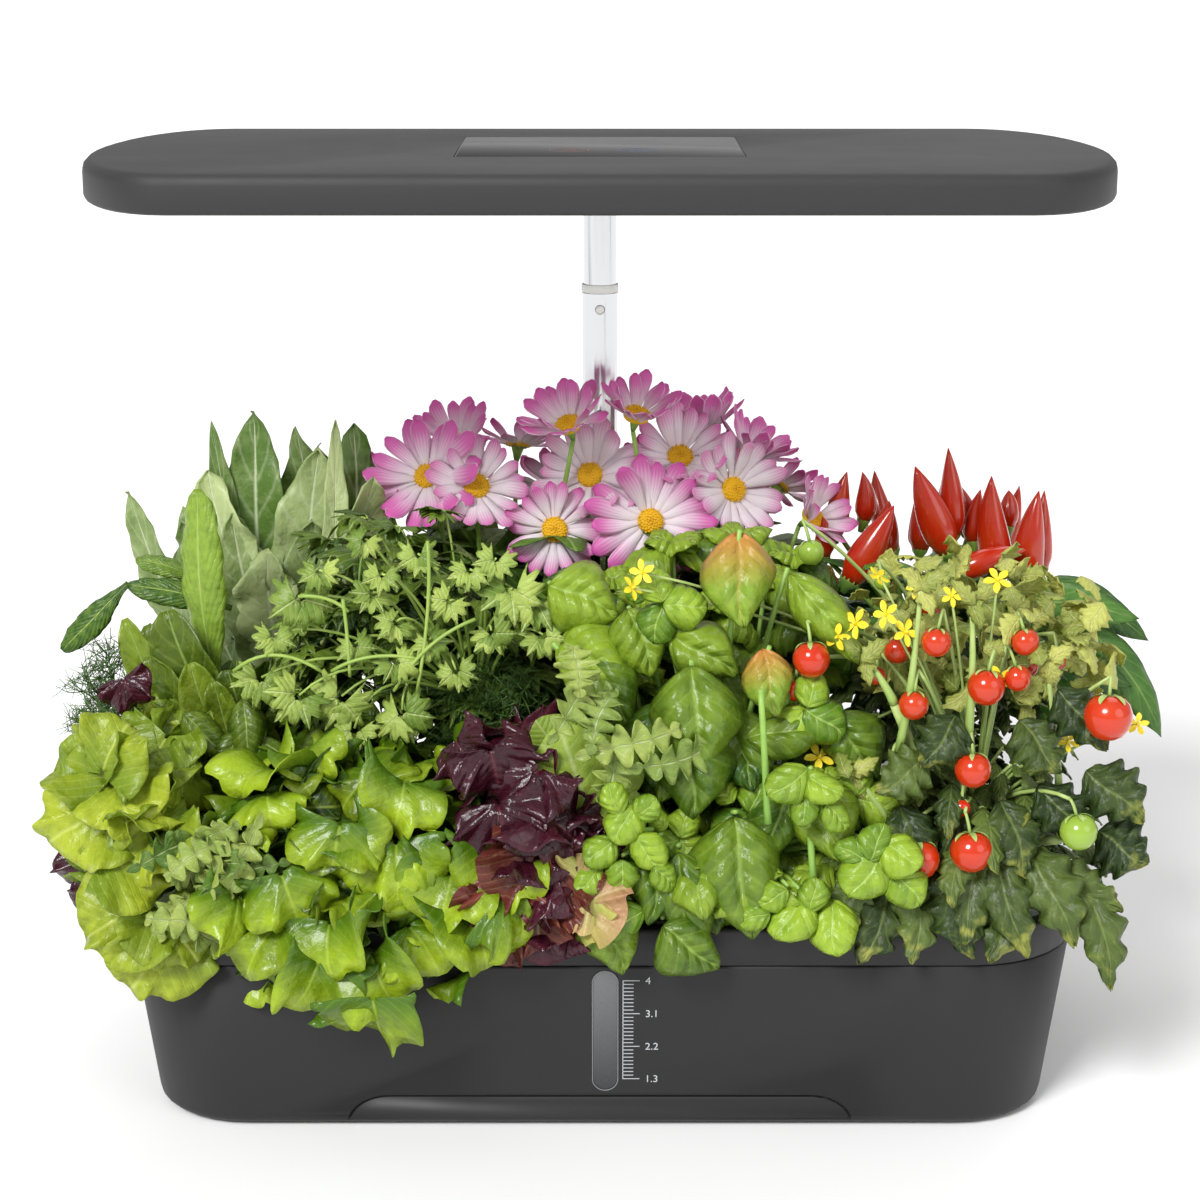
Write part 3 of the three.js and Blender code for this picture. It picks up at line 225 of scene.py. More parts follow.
# Water window: a bar of smoked polycarbonate welded into the front wall, clear enough to show the level.
# It is a shade paler at the top, where less of the wall behind it shows.
window_low, window_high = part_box("water_window")
material, tree = blank("smoked polycarbonate of the window")
place = add(tree, "ShaderNodeTexCoord").outputs["Object"]
height = add(tree, "ShaderNodeSeparateXYZ", {0: place}).outputs["Z"]
rise = add(tree, "ShaderNodeMapRange", {0: height, 1: window_low.z, 2: window_high.z})
smoke = add(tree, "ShaderNodeMixRGB", {0: rise.outputs[0], 1: paint("#2e2f31"), 2: paint("#6a6b6d")})
mist = add(tree, "ShaderNodeTexNoise", {"Vector": place, "Scale": 1 / (6 * MM)})
dull = add(tree, "ShaderNodeMapRange", {0: mist.outputs["Fac"], 3: 0.2, 4: 0.36})
sockets = {"Base Color": smoke.outputs[0], "Roughness": dull.outputs[0]}
surface(tree, sockets | {"Coat Weight": 0.15, "Coat Roughness": 0.2})
dress("water_window", material, bevel=0.5)

# Scale: fine printed lines and plain numbers beside the window, on the slope of the front wall.
# They are drawn flat at the foot of the wall and then leant against it.
wall_low, wall_high = (-100.11, 1.2), (-108.11, 86.0)
wall_slope = math.atan2(wall_low[0] - wall_high[0], wall_high[1] - wall_low[1])
scale_low, scale_high, scale_steps, scale_x = 20.4, 63.2, 27, 8.7
print_height, line_width = 0.12, 0.32
long_tick, short_tick, ticks_to_number = 6.6, 4.2, 9
number_x, number_size, number_drop = 17.4, 4.3, 1.45
pieces = []


def bar(x_low, x_high, low, high, thick=print_height):
    """A flat bar in the plane of the wall, in mm."""
    middle = ((x_low + x_high) / 2 * MM, 0, (low + high) / 2 * MM)
    bpy.ops.mesh.primitive_cube_add(size=1, location=middle)
    bpy.context.object.dimensions = ((x_high - x_low) * MM, thick * MM, (high - low) * MM)
    bpy.ops.object.transform_apply(location=True, scale=True)
    pieces.append(bpy.context.object)


def tick_height(step):
    """How high a line of the scale is, counted from the top, in mm."""
    return scale_high + (scale_low - scale_high) * step / scale_steps


def lean_on_wall(name, material, slot):
    """Joins the flat pieces and leans them against the front wall."""
    select(*pieces)
    bpy.ops.object.join()
    joined = bpy.context.object
    joined.name = name
    lean = Matrix.Translation((0, wall_low[0] * MM, wall_low[1] * MM)) @ Matrix.Rotation(wall_slope, 4, "X")
    joined.data.transform(lean)
    joined.data.materials.clear()
    joined.data.materials.append(material)
    carry(joined, "tank", slot)
    pieces.clear()


bar(scale_x, scale_x + line_width, scale_low, scale_high)
for step in range(scale_steps + 1):
    height = tick_height(step)
    reach = long_tick if step % ticks_to_number == 0 else short_tick
    bar(scale_x, scale_x + reach, height - line_width / 2, height + line_width / 2)
for index, label in enumerate(("4", "3.1", "2.2", "1.3")):
    height = tick_height(index * ticks_to_number) - number_drop
    bpy.ops.object.text_add(location=(number_x * MM, 0, height * MM), rotation=(math.pi / 2, 0, 0))
    words = bpy.context.object
    words.data.body = label
    words.data.size = number_size * MM
    words.data.extrude = print_height / 2 * MM
    bpy.ops.object.convert(target="MESH")
    bpy.ops.object.transform_apply(location=True, rotation=True)
    pieces.append(bpy.context.object)
scale_ink = moulded("pale grey printing ink", "#b4b7ba", roughness=0.6, grain=0.3, depth=0.005)
lean_on_wall("water_scale", scale_ink, "white_plastic")

# Window rim: a thin pale bead of weld round the window, drawn along the window's outline.
# It leans on the wall as the printed scale does.
rim_points, bead_radius = 48, 0.2
window_half = (window_high.x - window_low.x) / 2 / MM
window_x = (window_high.x + window_low.x) / 2 / MM
rim_low, rim_high = window_low.z / MM - wall_low[1], window_high.z / MM - wall_low[1]
outline = []
for index in range(rim_points):
    angle = index / rim_points * 2 * math.pi
    middle = rim_high - window_half if math.sin(angle) > 0 else rim_low + window_half
    x, z = window_x + window_half * math.cos(angle), middle + window_half * math.sin(angle)
    outline.append((x * MM, 0, z * MM))
curve = bpy.data.curves.new("window_rim", "CURVE")
curve.dimensions = "3D"
line = curve.splines.new("POLY")
line.points.add(len(outline) - 1)
for point, place in zip(line.points, outline):
    point.co = (*place, 1)
line.use_cyclic_u = True
curve.bevel_depth = bead_radius * MM
rim = bpy.data.objects.new("window_rim", curve)
scene.collection.objects.link(rim)
select(rim)
bpy.ops.object.convert(target="MESH")
bpy.ops.object.shade_smooth()
pieces.append(rim)
bead = moulded("pale bead of the window", "#7c7e80", roughness=0.3, grain=0.4, depth=0.005)
lean_on_wall("window_rim", bead, "smoked_plastic")

# Feet: plugs of black silicone rubber pressed into pockets under the tank.
# Rubber is the dullest of the garden's surfaces, with a slightly coarse grain.
foot_rubber = moulded("black silicone rubber", "#19191a", roughness=0.75, grain=0.8, depth=0.03)
for number in range(1, 5):
    dress(f"foot_{number}", foot_rubber, bevel=0.5)

# Deck: the frame is the tank's charcoal ABS; the planting deck is a glossy white ABS tray set into it.
# The pole socket is screwed up from below in the charcoal.
deck_white = moulded("white ABS of the deck", "#f0f0ed", roughness=0.34, grain=0.8, depth=0.008)
dress("deck_frame", tank_abs)
dress("planting_deck", deck_white, bevel=0.25, angle=40)
dress("pole_socket", tank_abs, bevel=0.4, angle=40)

# Pole: two drawn aluminium tubes, polished and clear anodised, with a nylon collar and a snap button.
# Drawing leaves very fine lines along the tube.
material, tree = blank("polished anodised aluminium")
place = add(tree, "ShaderNodeTexCoord").outputs["Object"]
lines = add(tree, "ShaderNodeMapping", {"Vector": place, "Scale": (1.0, 1.0, 0.02)})
drawn = add(tree, "ShaderNodeTexNoise", {"Vector": lines.outputs[0], "Scale": 1 / (0.5 * MM), "Detail": 2.0})
dull = add(tree, "ShaderNodeMapRange", {0: drawn.outputs["Fac"], 3: 0.14, 4: 0.26})
bump = add(tree, "ShaderNodeBump", {"Height": drawn.outputs["Fac"], "Distance": 0.004 * MM, "Strength": 0.4})
sockets = {"Base Color": paint("#d6d7d9"), "Metallic": 1.0}
surface(tree, sockets | {"Roughness": dull.outputs[0], "Normal": bump.outputs[0]})
polished = material
dress("lower_tube", polished)
dress("upper_tube", polished)
nylon = moulded("natural white nylon", "#f4f4f2", roughness=0.38, grain=0.6, depth=0.01)
dress("pole_collar", nylon, bevel=0.5)
dress("snap_button", nylon, bevel=0.35)

# Pump and power inlet: housings of black ABS under the deck, with a white nylon wheel in the pump.
# The pump hangs on a rod, and its rubber lead runs up beside it.
black_abs = moulded("black ABS of the pump", "#1d1e20", roughness=0.42, grain=0.5)
for node in ("power_inlet", "power_housing", "pump_body", "intake_cover", "pump_hanger"):
    dress(node, black_abs, bevel=0.3)
dress("pump_lead", foot_rubber)
dress("impeller", nylon, bevel=0.15)

# Lamp head: a wide top cover and a flush bottom cover in charcoal ABS with a fine brushed grain.
# The touch panel is a smoked, glossy acrylic let into the top.
head_abs = moulded(
    "brushed charcoal ABS of the head", "#252526", roughness=0.6, grain=0.45, depth=0.03, streak=9.0
)
dress("head_top_cover", head_abs)
dress("head_bottom_cover", head_abs)
dress("head_bracket", black_abs, bevel=0.4)
material, tree = blank("smoked glossy acrylic")
place = add(tree, "ShaderNodeTexCoord").outputs["Object"]
mist = add(tree, "ShaderNodeTexNoise", {"Vector": place, "Scale": 1 / (30 * MM)})
dull = add(tree, "ShaderNodeMapRange", {0: mist.outputs["Fac"], 3: 0.1, 4: 0.18})
surface(tree, {"Base Color": paint("#151517"), "Roughness": dull.outputs[0], "Specular IOR Level": 0.07})
dress("touch_panel", material, bevel=0.25)

# Touch marks: two faint rings of printing ink on the acrylic, one warm and one cool, each round a small ring.
# They stand for the two keys of the panel.
panel_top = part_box("touch_panel")[1].z / MM
mark_y, mark_lift, mark_line, mark_height_share = -7, 0.04, 0.16, 0.3
for name, x, colour in (("warm", -12, "#8c5a55"), ("cool", 15, "#5a6488")):
    glyph = moulded(f"{name} touch mark", colour, roughness=0.4, grain=0.5, depth=0.002)
    for part, size in (("ring", 7.6), ("dot", 2.2)):
        bpy.ops.mesh.primitive_torus_add(
            location=(x * MM, mark_y * MM, (panel_top + mark_lift) * MM),
            major_radius=size * MM,
            minor_radius=mark_line * MM,
            major_segments=72,
        )
        mark = bpy.context.object
        mark.name = f"{name}_touch_{part}"
        mark.scale = (1, 1, mark_height_share)
        bpy.ops.object.transform_apply(location=True, scale=True)
        bpy.ops.object.shade_smooth()
        mark.data.materials.append(glyph)
        carry(mark, "lamp", "panel_gloss")

# Boards: glass-fibre boards under a solder mask, white round the lamps and green in the control board.
# The mask is a thin, glossy lacquer.
board_white = moulded("white solder mask", "#ecece6", roughness=0.4, grain=1.2, depth=0.01)
dress("led_board", board_white)
board_green = moulded("green solder mask", "#2b5a38", roughness=0.4, grain=1.2, depth=0.01)
dress("control_board", board_green)

# Lamp screws: four of zinc plated steel, which hold the head's two covers together.
# Plating leaves them a pale, even grey.
screw_steel = moulded("zinc plated steel", "#8f9194", roughness=0.35, grain=0.3, depth=0.01)
for number in range(1, 5):
    dress(f"lamp_screw_{number}", screw_steel, bevel=0.2)

# Net baskets: thin white polypropylene cups, slotted for the roots, with a flange that rests on the deck.
# There are three rows of four.
rows_of_pods, pods_in_row = ("front", "middle", "back"), 4
basket_white = moulded("white polypropylene of the baskets", "#f2f2ee", roughness=0.4, grain=0.7, depth=0.01)
for row in rows_of_pods:
    for number in range(1, pods_in_row + 1):
        dress(f"basket_{row}_{number}", basket_white)

# Sponges: plugs of brown rockwool in the baskets, in which the seeds were sown.
# Each plant is rooted in its plug, so the plug rides on the plant's own pod.
sponge_wool = moulded("brown rockwool", "#4a3a26", roughness=0.95, grain=1.5, depth=0.6)
sponge_radius, sponge_height, sponge_edge = 12.4, 3.6, 0.8


def crown(pod):
    """The middle of a basket at the height of its flange, in mm. A pod is a row and a number."""
    low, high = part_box("basket_" + pod)
    return np.array([(low.x + high.x) / 2, (low.y + high.y) / 2, high.z]) / MM


for row in rows_of_pods:
    for number in range(1, pods_in_row + 1):
        pod = f"{row}_{number}"
        bpy.ops.mesh.primitive_cylinder_add(
            vertices=40, radius=sponge_radius * MM, depth=sponge_height * MM, location=crown(pod) * MM
        )
        plug = bpy.context.object
        plug.name = f"sponge_{pod}"
        bpy.ops.object.mode_set(mode="EDIT")
        bpy.ops.mesh.bevel(offset=sponge_edge * MM, segments=2)
        bpy.ops.object.mode_set(mode="OBJECT")
        bpy.ops.object.transform_apply(location=True)
        bpy.ops.object.shade_smooth_by_angle(angle=math.radians(40))
        plug.data.materials.append(sponge_wool)
        carry(plug, f"pod_{pod}", "herb_leaf")

# Foliage: every leaf is a thin sheet that starts flat and unit-sized, with its outline, lobes and ruffles.
# It is then curled over its rib and set on the plant at a foot, a heading and a lean, as it grows.
golden_angle = math.pi * (3 - math.sqrt(5))
turn_full = 2 * math.pi


def ease(value, low, high):
    """A smooth step from 0 at low to 1 at high."""
    share = np.clip((value - low) / (high - low), 0, 1)
    return share * share * (3 - 2 * share)


def grid_faces(rows, columns):
    """Quads of a grid that has rows + 1 lines of columns + 1 points, facing up."""
    start = (np.arange(rows)[:, None] * (columns + 1) + np.arange(columns)[None, :]).ravel()
    return [np.stack([start, start + columns + 1, start + columns + 2, start + 1], axis=1)]


def strap(
    rows, columns, profile, cup=0, bulge=0, ruffle=0, ruffles=3, quilt=0, veins=7, lobes=0, notch=0, seed=0
):
    """A leaf longer than wide: a grid on both sides of its rib. profile gives its width from foot to tip."""
    rng = np.random.default_rng(seed)
    along = np.linspace(0, 1, rows + 1)[:, None] + np.zeros((1, columns + 1))
    across = np.linspace(-1, 1, columns + 1)[None, :] + np.zeros((rows + 1, 1))
    edge = np.abs(across)
    width = profile(along)
    shift = rng.uniform(0, turn_full, 6)
    side = across > 0
    if lobes:
        lobe = 0.5 - 0.5 * np.cos(turn_full * lobes * along + np.where(side, 0.0, 1.1))
        width = width * (1 - notch * lobe * ease(1 - along, 0, 0.12))
    wave = np.sin(turn_full * ruffles * along + np.where(side, shift[0], shift[1]))
    wave = wave + 0.45 * np.sin(turn_full * 2.3 * ruffles * along + np.where(side, shift[2], shift[3]))
    height = cup * edge**2 * width / 2 + ruffle * edge**2 * wave * ease(along, 0, 0.3)
    height = height + bulge * np.sin(math.pi * edge) * width
    blister = np.abs(np.sin(math.pi * veins * (along - 0.3 * edge))) ** 0.6
    height = height + quilt * blister * np.sqrt(edge) * (1 - edge**3) * width
    sway = 0.06 * np.sin(turn_full * along + shift[4]) * along
    points = np.stack([along, across * width / 2 + sway, height], axis=-1).reshape(-1, 3)
    return points, grid_faces(rows, columns), np.stack([across / 2 + 0.5, along], axis=-1).reshape(-1, 2)


def fan(rows, columns, spread, reach, cup=0, ruffle=0, ruffles=6, fold=0, quilt=0, seed=0):
    """A leaf about as wide as long: rays from its foot. reach gives a ray's length at its angle."""
    rng = np.random.default_rng(seed)
    shift = rng.uniform(0, turn_full, 4)
    out = np.linspace(0.05, 1, rows + 1)[:, None] + np.zeros((1, columns + 1))
    angle = np.linspace(-spread, spread, columns + 1)[None, :] + np.zeros((rows + 1, 1))
    length = reach(angle) * (1 + 0.05 * np.sin(5 * angle + shift[0]))
    frill = np.sin(ruffles * angle + shift[1] + out) + 0.5 * np.sin(2.3 * ruffles * angle + shift[2] - out)
    slide = fold * out**3 * np.cos(ruffles * angle + shift[1] + out)
    turned = angle + slide
    x = length * out * np.cos(turned)
    y = length * out * np.sin(turned)
    height = ruffle * out**2.5 * frill + cup * y**2 + 0.02 * np.sin(9 * x + shift[3]) * np.sin(8 * y) * out
    height = height + quilt * np.abs(np.sin(13 * x + 3 * y + shift[3]) * np.sin(12 * y - 2 * x)) ** 0.7 * out
    points = np.stack([x, y, height], axis=-1).reshape(-1, 3)
    return points, grid_faces(rows, columns), np.stack([y + 0.5, x], axis=-1).reshape(-1, 2)


def several(count, make, *sizes, **shape):
    """Forms of one kind of leaf, which differ in their ruffles."""
    return [make(*sizes, **shape, seed=index) for index in range(count)]


least_curl = 0.01  # radians


def bent(curl):
    """A curl that is never quite 0, because a leaf's length is divided by it."""
    return curl if abs(curl) > least_curl else least_curl


def lay(form, foot, heading, lean, curl, length, width=None, roll=0.0, tint_and_shade=0.5):
    """One leaf on the plant, in mm: it leaves its foot at a heading and a lean, and curls over to its tip."""
    points, faces, uv = form
    width = width or length
    x, y, height = points[:, 0], points[:, 1] * width, points[:, 2] * width
    y, height = y * math.cos(roll) - height * math.sin(roll), y * math.sin(roll) + height * math.cos(roll)
    curl = bent(curl)
    turn = lean - curl * x
    out = length / curl * (math.sin(lean) - np.sin(turn)) - np.sin(turn) * height
    rise = length / curl * (np.cos(turn) - math.cos(lean)) + np.cos(turn) * height
    east = out * math.cos(heading) - y * math.sin(heading)
    north = out * math.sin(heading) + y * math.cos(heading)
    return np.stack([east, north, rise], axis=1) + np.asarray(foot, float), faces, uv, tint_and_shade


def between(form, foot, tip, curl, width=None, roll=0.0, tint_and_shade=0.5):
    """One leaf from its foot to its tip, arched by a curl."""
    step = np.asarray(tip, float) - np.asarray(foot, float)
    heading = math.atan2(step[1], step[0])
    level = math.atan2(step[2], math.hypot(step[0], step[1]))
    half = bent(curl) / 2
    length = np.linalg.norm(step) * half / math.sin(half)
    return lay(form, foot, heading, level + half, curl, length, width, roll, tint_and_shade)


def bow(start, end, lift, steps=8):
    """Points on an arch from start to end, whose middle is pulled by lift."""
    start, end, lift = (np.asarray(point, float) for point in (start, end, lift))
    share = np.linspace(0, 1, steps + 1)[:, None]
    pulled = (start + end) / 2 + lift
    return (1 - share) ** 2 * start + 2 * share * (1 - share) * pulled + share**2 * end


def stem(path, thick, thin, sides=6, tint_and_shade=0.5):
    """A closed tube along a path, from thick to thin. Without thin, thick has a radius for each point."""
    path = np.asarray(path, float)
    count = len(path)
    heading = np.gradient(path, axis=0)
    heading /= np.linalg.norm(heading, axis=1)[:, None]
    side = np.cross(heading, (0.31, 0.87, 0.39))
    side /= np.linalg.norm(side, axis=1)[:, None]
    upper = np.cross(side, heading)
    angle = np.arange(sides) / sides * turn_full
    radius = (thick if thin is None else np.linspace(thick, thin, count))[:, None, None]
    ring = np.cos(angle)[None, :, None] * side[:, None] + np.sin(angle)[None, :, None] * upper[:, None]
    points = (path[:, None] + radius * ring).reshape(-1, 3)
    points = np.concatenate([points, path[:1], path[-1:]])
    step = np.arange(sides)
    after = (step + 1) % sides
    low = np.arange(count - 1)[:, None] * sides
    corners = [low + step, low + sides + step, low + sides + after, low + after]
    quads = np.stack(corners, axis=-1).reshape(-1, 4)
    last = (count - 1) * sides
    caps = [(count * sides, a, b) for a, b in zip(step, after)]
    caps += [(count * sides + 1, last + b, last + a) for a, b in zip(step, after)]
    spot = np.repeat(np.linspace(0, 1, count), sides)
    uv = np.stack([np.tile(step / sides, count), spot], axis=1)
    uv = np.concatenate([uv, [[0, 0], [0, 1]]])
    return points, [quads, np.array(caps)], uv, tint_and_shade


def spun(profile, sides, tint_and_shade=0.5):
    """A closed solid of revolution about Z, from foot to top. profile has [radius, height] pairs."""
    inner = np.array(profile[1:-1], float)
    angle = np.arange(sides) / sides * turn_full
    ring = np.stack([np.cos(angle), np.sin(angle)], axis=1)
    points = np.concatenate(
        [np.concatenate([ring * radius, np.full((sides, 1), height)], axis=1) for radius, height in inner]
        + [np.array([[0, 0, profile[0][1]], [0, 0, profile[-1][1]]])]
    )
    step = np.arange(sides)
    after = (step + 1) % sides
    low = np.arange(len(inner) - 1)[:, None] * sides
    corners = [low + step, low + after, low + sides + after, low + sides + step]
    quads = np.stack(corners, axis=-1).reshape(-1, 4)
    foot, top, last = len(inner) * sides, len(inner) * sides + 1, (len(inner) - 1) * sides
    caps = [(foot, b, a) for a, b in zip(step, after)]
    caps += [(top, last + a, last + b) for a, b in zip(step, after)]
    spot = np.repeat(np.linspace(0, 1, len(inner)), sides)
    uv = np.concatenate([np.stack([np.tile(step / sides, len(inner)), spot], axis=1), [[0, 0], [0, 1]]])
    return points, [quads, np.array(caps)], uv, tint_and_shade


def moved(part, place, facing=(0, 0, 1), spin=0.0):
    """A part turned so that its Z faces a way, and moved to its place in mm."""
    points, faces, uv, tint_and_shade = part
    turn = Vector(facing).to_track_quat("Z", "Y").to_matrix() @ Matrix.Rotation(spin, 3, "Z")
    return points @ np.array(turn).T + np.asarray(place, float), faces, uv, tint_and_shade


# The outermost tips bend softly back beyond these distances from the middle, in mm.
farthest_x, farthest_y, soft_end = 230, 131, 6


def grow(name, parts, material, pod, slot, nodes=(), sheet=0.0):
    """Joins leaves, stems or fruit into one piece on its pod. sheet is the leaves' thickness in mm."""
    faces, start = [], 0
    for points, sets, _, _ in parts:
        for corners in sets:
            faces.extend((corners + start).tolist())
        start += len(points)
    points = np.concatenate([part[0] for part in parts])
    for axis, reach in ((0, farthest_x), (1, farthest_y)):
        past = np.abs(points[:, axis]) - reach
        held = np.sign(points[:, axis]) * (reach + soft_end * np.tanh(past / soft_end))
        points[:, axis] = np.where(past > 0, held, points[:, axis])
    mesh = bpy.data.meshes.new(name)
    mesh.from_pydata((points * MM).tolist(), [], faces)
    spots = np.concatenate([part[2] for part in parts])
    corner = np.empty(len(mesh.loops), int)
    mesh.loops.foreach_get("vertex_index", corner)
    mesh.uv_layers.new(name="leaf").data.foreach_set("uv", spots[corner].ravel())
    tint_and_shade_values = np.concatenate([np.full(len(part[0]), part[3]) for part in parts])
    mesh.attributes.new("tint_and_shade", "FLOAT", "POINT").data.foreach_set("value", tint_and_shade_values)
    mesh.polygons.foreach_set("use_smooth", [True] * len(mesh.polygons))
    mesh.materials.append(material)
    piece = bpy.data.objects.new(name, mesh)
    scene.collection.objects.link(piece)
    if sheet:
        select(piece)
        flesh = piece.modifiers.new("flesh", "SOLIDIFY")
        flesh.thickness = sheet * MM
        flesh.offset = 0
        bpy.ops.object.modifier_apply(modifier="flesh")
    carry(piece, "pod_" + pod, slot, *nodes)
    return piece


# A side vein's half width is a share of the gap between two. The rib's edges are shares of the leaf's width.
vein_share, rib_inner_share, rib_outer_share = 0.14, 0.006, 0.04
fine_grain, relief = 2.6, 0.7  # mm


def foliage(
    name, blade, deep, rib, young=None, rim=None, veins=7.0, slant=0.35, ribbed=0.5,
    gloss=0.4, glow=0.25, wax=0.1, blotch=7, puff=0.5,
):
    """Living leaf: a waxy skin over cells that let light through, with a paler rib and side veins.

    blade, deep, rib, young and rim are the colours of a lit and a shaded leaf, its veins, foot and dry edge.
    """
    material, tree = blank(name)
    spot = add(tree, "ShaderNodeSeparateXYZ", {0: add(tree, "ShaderNodeUVMap", uv_map="leaf").outputs[0]})
    place = add(tree, "ShaderNodeTexCoord").outputs["Object"]
    # The attribute sets each leaf between the shaded and the lit colour: partly painted shade, partly a
    # random tone.
    tint_and_shade = add(tree, "ShaderNodeAttribute", attribute_name="tint_and_shade").outputs["Fac"]
    off = add(tree, "ShaderNodeMath", {0: spot.outputs["X"], 1: 0.5}, operation="SUBTRACT")
    across = add(tree, "ShaderNodeMath", {0: off.outputs[0]}, operation="ABSOLUTE").outputs[0]
    lean = add(
        tree, "ShaderNodeMath", {0: across, 1: -2 * slant, 2: spot.outputs["Y"]}, operation="MULTIPLY_ADD"
    )
    near = add(tree, "ShaderNodeMath", {0: lean.outputs[0], 1: 0.5 / veins}, operation="PINGPONG")
    side = add(
        tree, "ShaderNodeMapRange",
        {0: near.outputs[0], 1: 0.0, 2: vein_share / veins, 3: 0.5 * ribbed, 4: 0.0}
    )
    edges = {1: rib_inner_share, 2: rib_outer_share, 3: min(1.0, 1.7 * ribbed), 4: 0.0}
    middle = add(tree, "ShaderNodeMapRange", {0: across} | edges)
    vein = add(
        tree, "ShaderNodeMath", {0: side.outputs[0], 1: middle.outputs[0]}, operation="MAXIMUM"
    ).outputs[0]
    cells = add(tree, "ShaderNodeTexNoise", {"Vector": place, "Scale": 1 / (blotch * MM), "Detail": 5.0})
    patch = add(tree, "ShaderNodeMath", {0: cells.outputs["Fac"], 1: tint_and_shade}, operation="ADD")
    share = add(tree, "ShaderNodeMapRange", {0: patch.outputs[0], 1: 0.45, 2: 1.45})
    body = add(tree, "ShaderNodeMixRGB", {0: share.outputs[0], 1: paint(deep), 2: paint(blade)})
    # young colours each leaf's foot: painted shade in the green lettuces, the foot's own tint in the red
    # lettuce and blushed basil.
    if young:
        base = add(tree, "ShaderNodeMapRange", {0: spot.outputs["Y"], 1: 0.05, 2: 0.6, 3: 1.0, 4: 0.0})
        body = add(tree, "ShaderNodeMixRGB", {0: base.outputs[0], 1: body.outputs[0], 2: paint(young)})
    if rim:
        dry = add(
            tree, "ShaderNodeMath", {0: cells.outputs["Fac"], 1: spot.outputs["Y"]}, operation="MULTIPLY"
        )
        dry = add(tree, "ShaderNodeMapRange", {0: dry.outputs[0], 1: 0.4, 2: 0.6})
        body = add(tree, "ShaderNodeMixRGB", {0: dry.outputs[0], 1: body.outputs[0], 2: paint(rim)})
    colour = add(tree, "ShaderNodeMixRGB", {0: vein, 1: body.outputs[0], 2: paint(rib)}).outputs[0]
    fine = add(tree, "ShaderNodeTexNoise", {"Vector": place, "Scale": 1 / (fine_grain * MM), "Detail": 3.0})
    puffed = {0: near.outputs[0], 1: puff * veins, 2: fine.outputs["Fac"]}
    blister = add(tree, "ShaderNodeMath", puffed, operation="MULTIPLY_ADD")
    swell = add(tree, "ShaderNodeMath", {0: vein, 1: -0.6, 2: blister.outputs[0]}, operation="MULTIPLY_ADD")
    bump = add(tree, "ShaderNodeBump", {"Height": swell.outputs[0], "Distance": relief * MM, "Strength": 0.9})
    dull = add(tree, "ShaderNodeMapRange", {0: cells.outputs["Fac"], 3: gloss - 0.1, 4: gloss + 0.12})
    sockets = {"Base Color": colour, "Roughness": dull.outputs[0], "Normal": bump.outputs[0]}
    waxed = {"Coat Weight": wax, "Coat Roughness": 0.16, "Specular IOR Level": 0.35}
    skin = add(tree, "ShaderNodeBsdfPrincipled", sockets | waxed)
    bright = add(
        tree, "ShaderNodeHueSaturation", {"Hue": 0.48, "Saturation": 1.05, "Value": 1.6, "Color": colour}
    )
    through = add(tree, "ShaderNodeBsdfTranslucent", {"Color": bright.outputs[0], "Normal": bump.outputs[0]})
    both = add(tree, "ShaderNodeMixShader", {0: glow, 1: skin.outputs[0], 2: through.outputs[0]})
    add(tree, "ShaderNodeOutputMaterial", {"Surface": both.outputs[0]})
    return material


def stalk_skin(name, young, old):
    """Green stem: a smooth, faintly ribbed skin that is paler at its young end."""
    material, tree = blank(name)
    spot = add(tree, "ShaderNodeSeparateXYZ", {0: add(tree, "ShaderNodeUVMap", uv_map="leaf").outputs[0]})
    place = add(tree, "ShaderNodeTexCoord").outputs["Object"]
    cells = add(tree, "ShaderNodeTexNoise", {"Vector": place, "Scale": 1 / (5 * MM), "Detail": 3.0})
    share = add(tree, "ShaderNodeMath", {0: cells.outputs["Fac"], 1: spot.outputs["Y"]}, operation="MULTIPLY")
    colour = add(tree, "ShaderNodeMixRGB", {0: share.outputs[0], 1: paint(old), 2: paint(young)})
    bump = add(
        tree, "ShaderNodeBump", {"Height": cells.outputs["Fac"], "Distance": 0.2 * MM, "Strength": 0.5}
    )
    surface(tree, {"Base Color": colour.outputs[0], "Roughness": 0.45, "Normal": bump.outputs[0]})
    return material


def egg(v):
    """Outline of a basil or chili leaf: round below, drawn to a point."""
    return np.clip(np.sin(math.pi * np.clip(v, 0, 1) ** 0.75) ** 0.8, 0.03, 1)


def disc(v):
    """Outline of a young basil leaf: nearly round."""
    return 0.94 * np.sqrt(np.clip(1 - (2 * np.clip(v, 0, 1) - 1) ** 2, 0.003, 1)) ** 0.9


def lance(v):
    """Outline of a long leaf: broadest past its middle, with a blunt point."""
    end = np.clip(1 - np.clip((v - 0.5) / 0.51, 0, 1) ** 2.2, 0.003, 1)
    return (0.2 + 0.8 * ease(v, 0.0, 0.55)) * np.sqrt(end)


def pick(forms, rng):
    """One of the leaves' forms."""
    return forms[rng.integers(len(forms))]


dome_top_share = 0.98  # of a dome's height, for its highest leaf


def round_way(index, level, rng):
    """The way to a leaf of a dome, and how wide the dome is there. Each leaf turns by the golden angle."""
    heading = index * golden_angle + rng.uniform(-0.3, 0.3)
    ring = math.sqrt(1 - level * level)
    return np.array([math.cos(heading) * ring, math.sin(heading) * ring, level]), ring


def dome(centre, radii, count, rng, low=-0.3, keep=0.22):
    """Feet and tips of leaves that fill a dome from its skirt to its crown, with a share from 0 to 1."""
    centre, radii = np.asarray(centre, float), np.asarray(radii, float)
    for index in range(count):
        share = (index + 0.5) / count
        level = low + (dome_top_share - low) * share
        way, _ = round_way(index, level, rng)
        tip = centre + radii * way * rng.uniform(0.85, 1.06)
        foot = centre + radii * np.array([way[0], way[1], max(way[2], 0) * 0.8]) * keep
        yield foot, tip, share


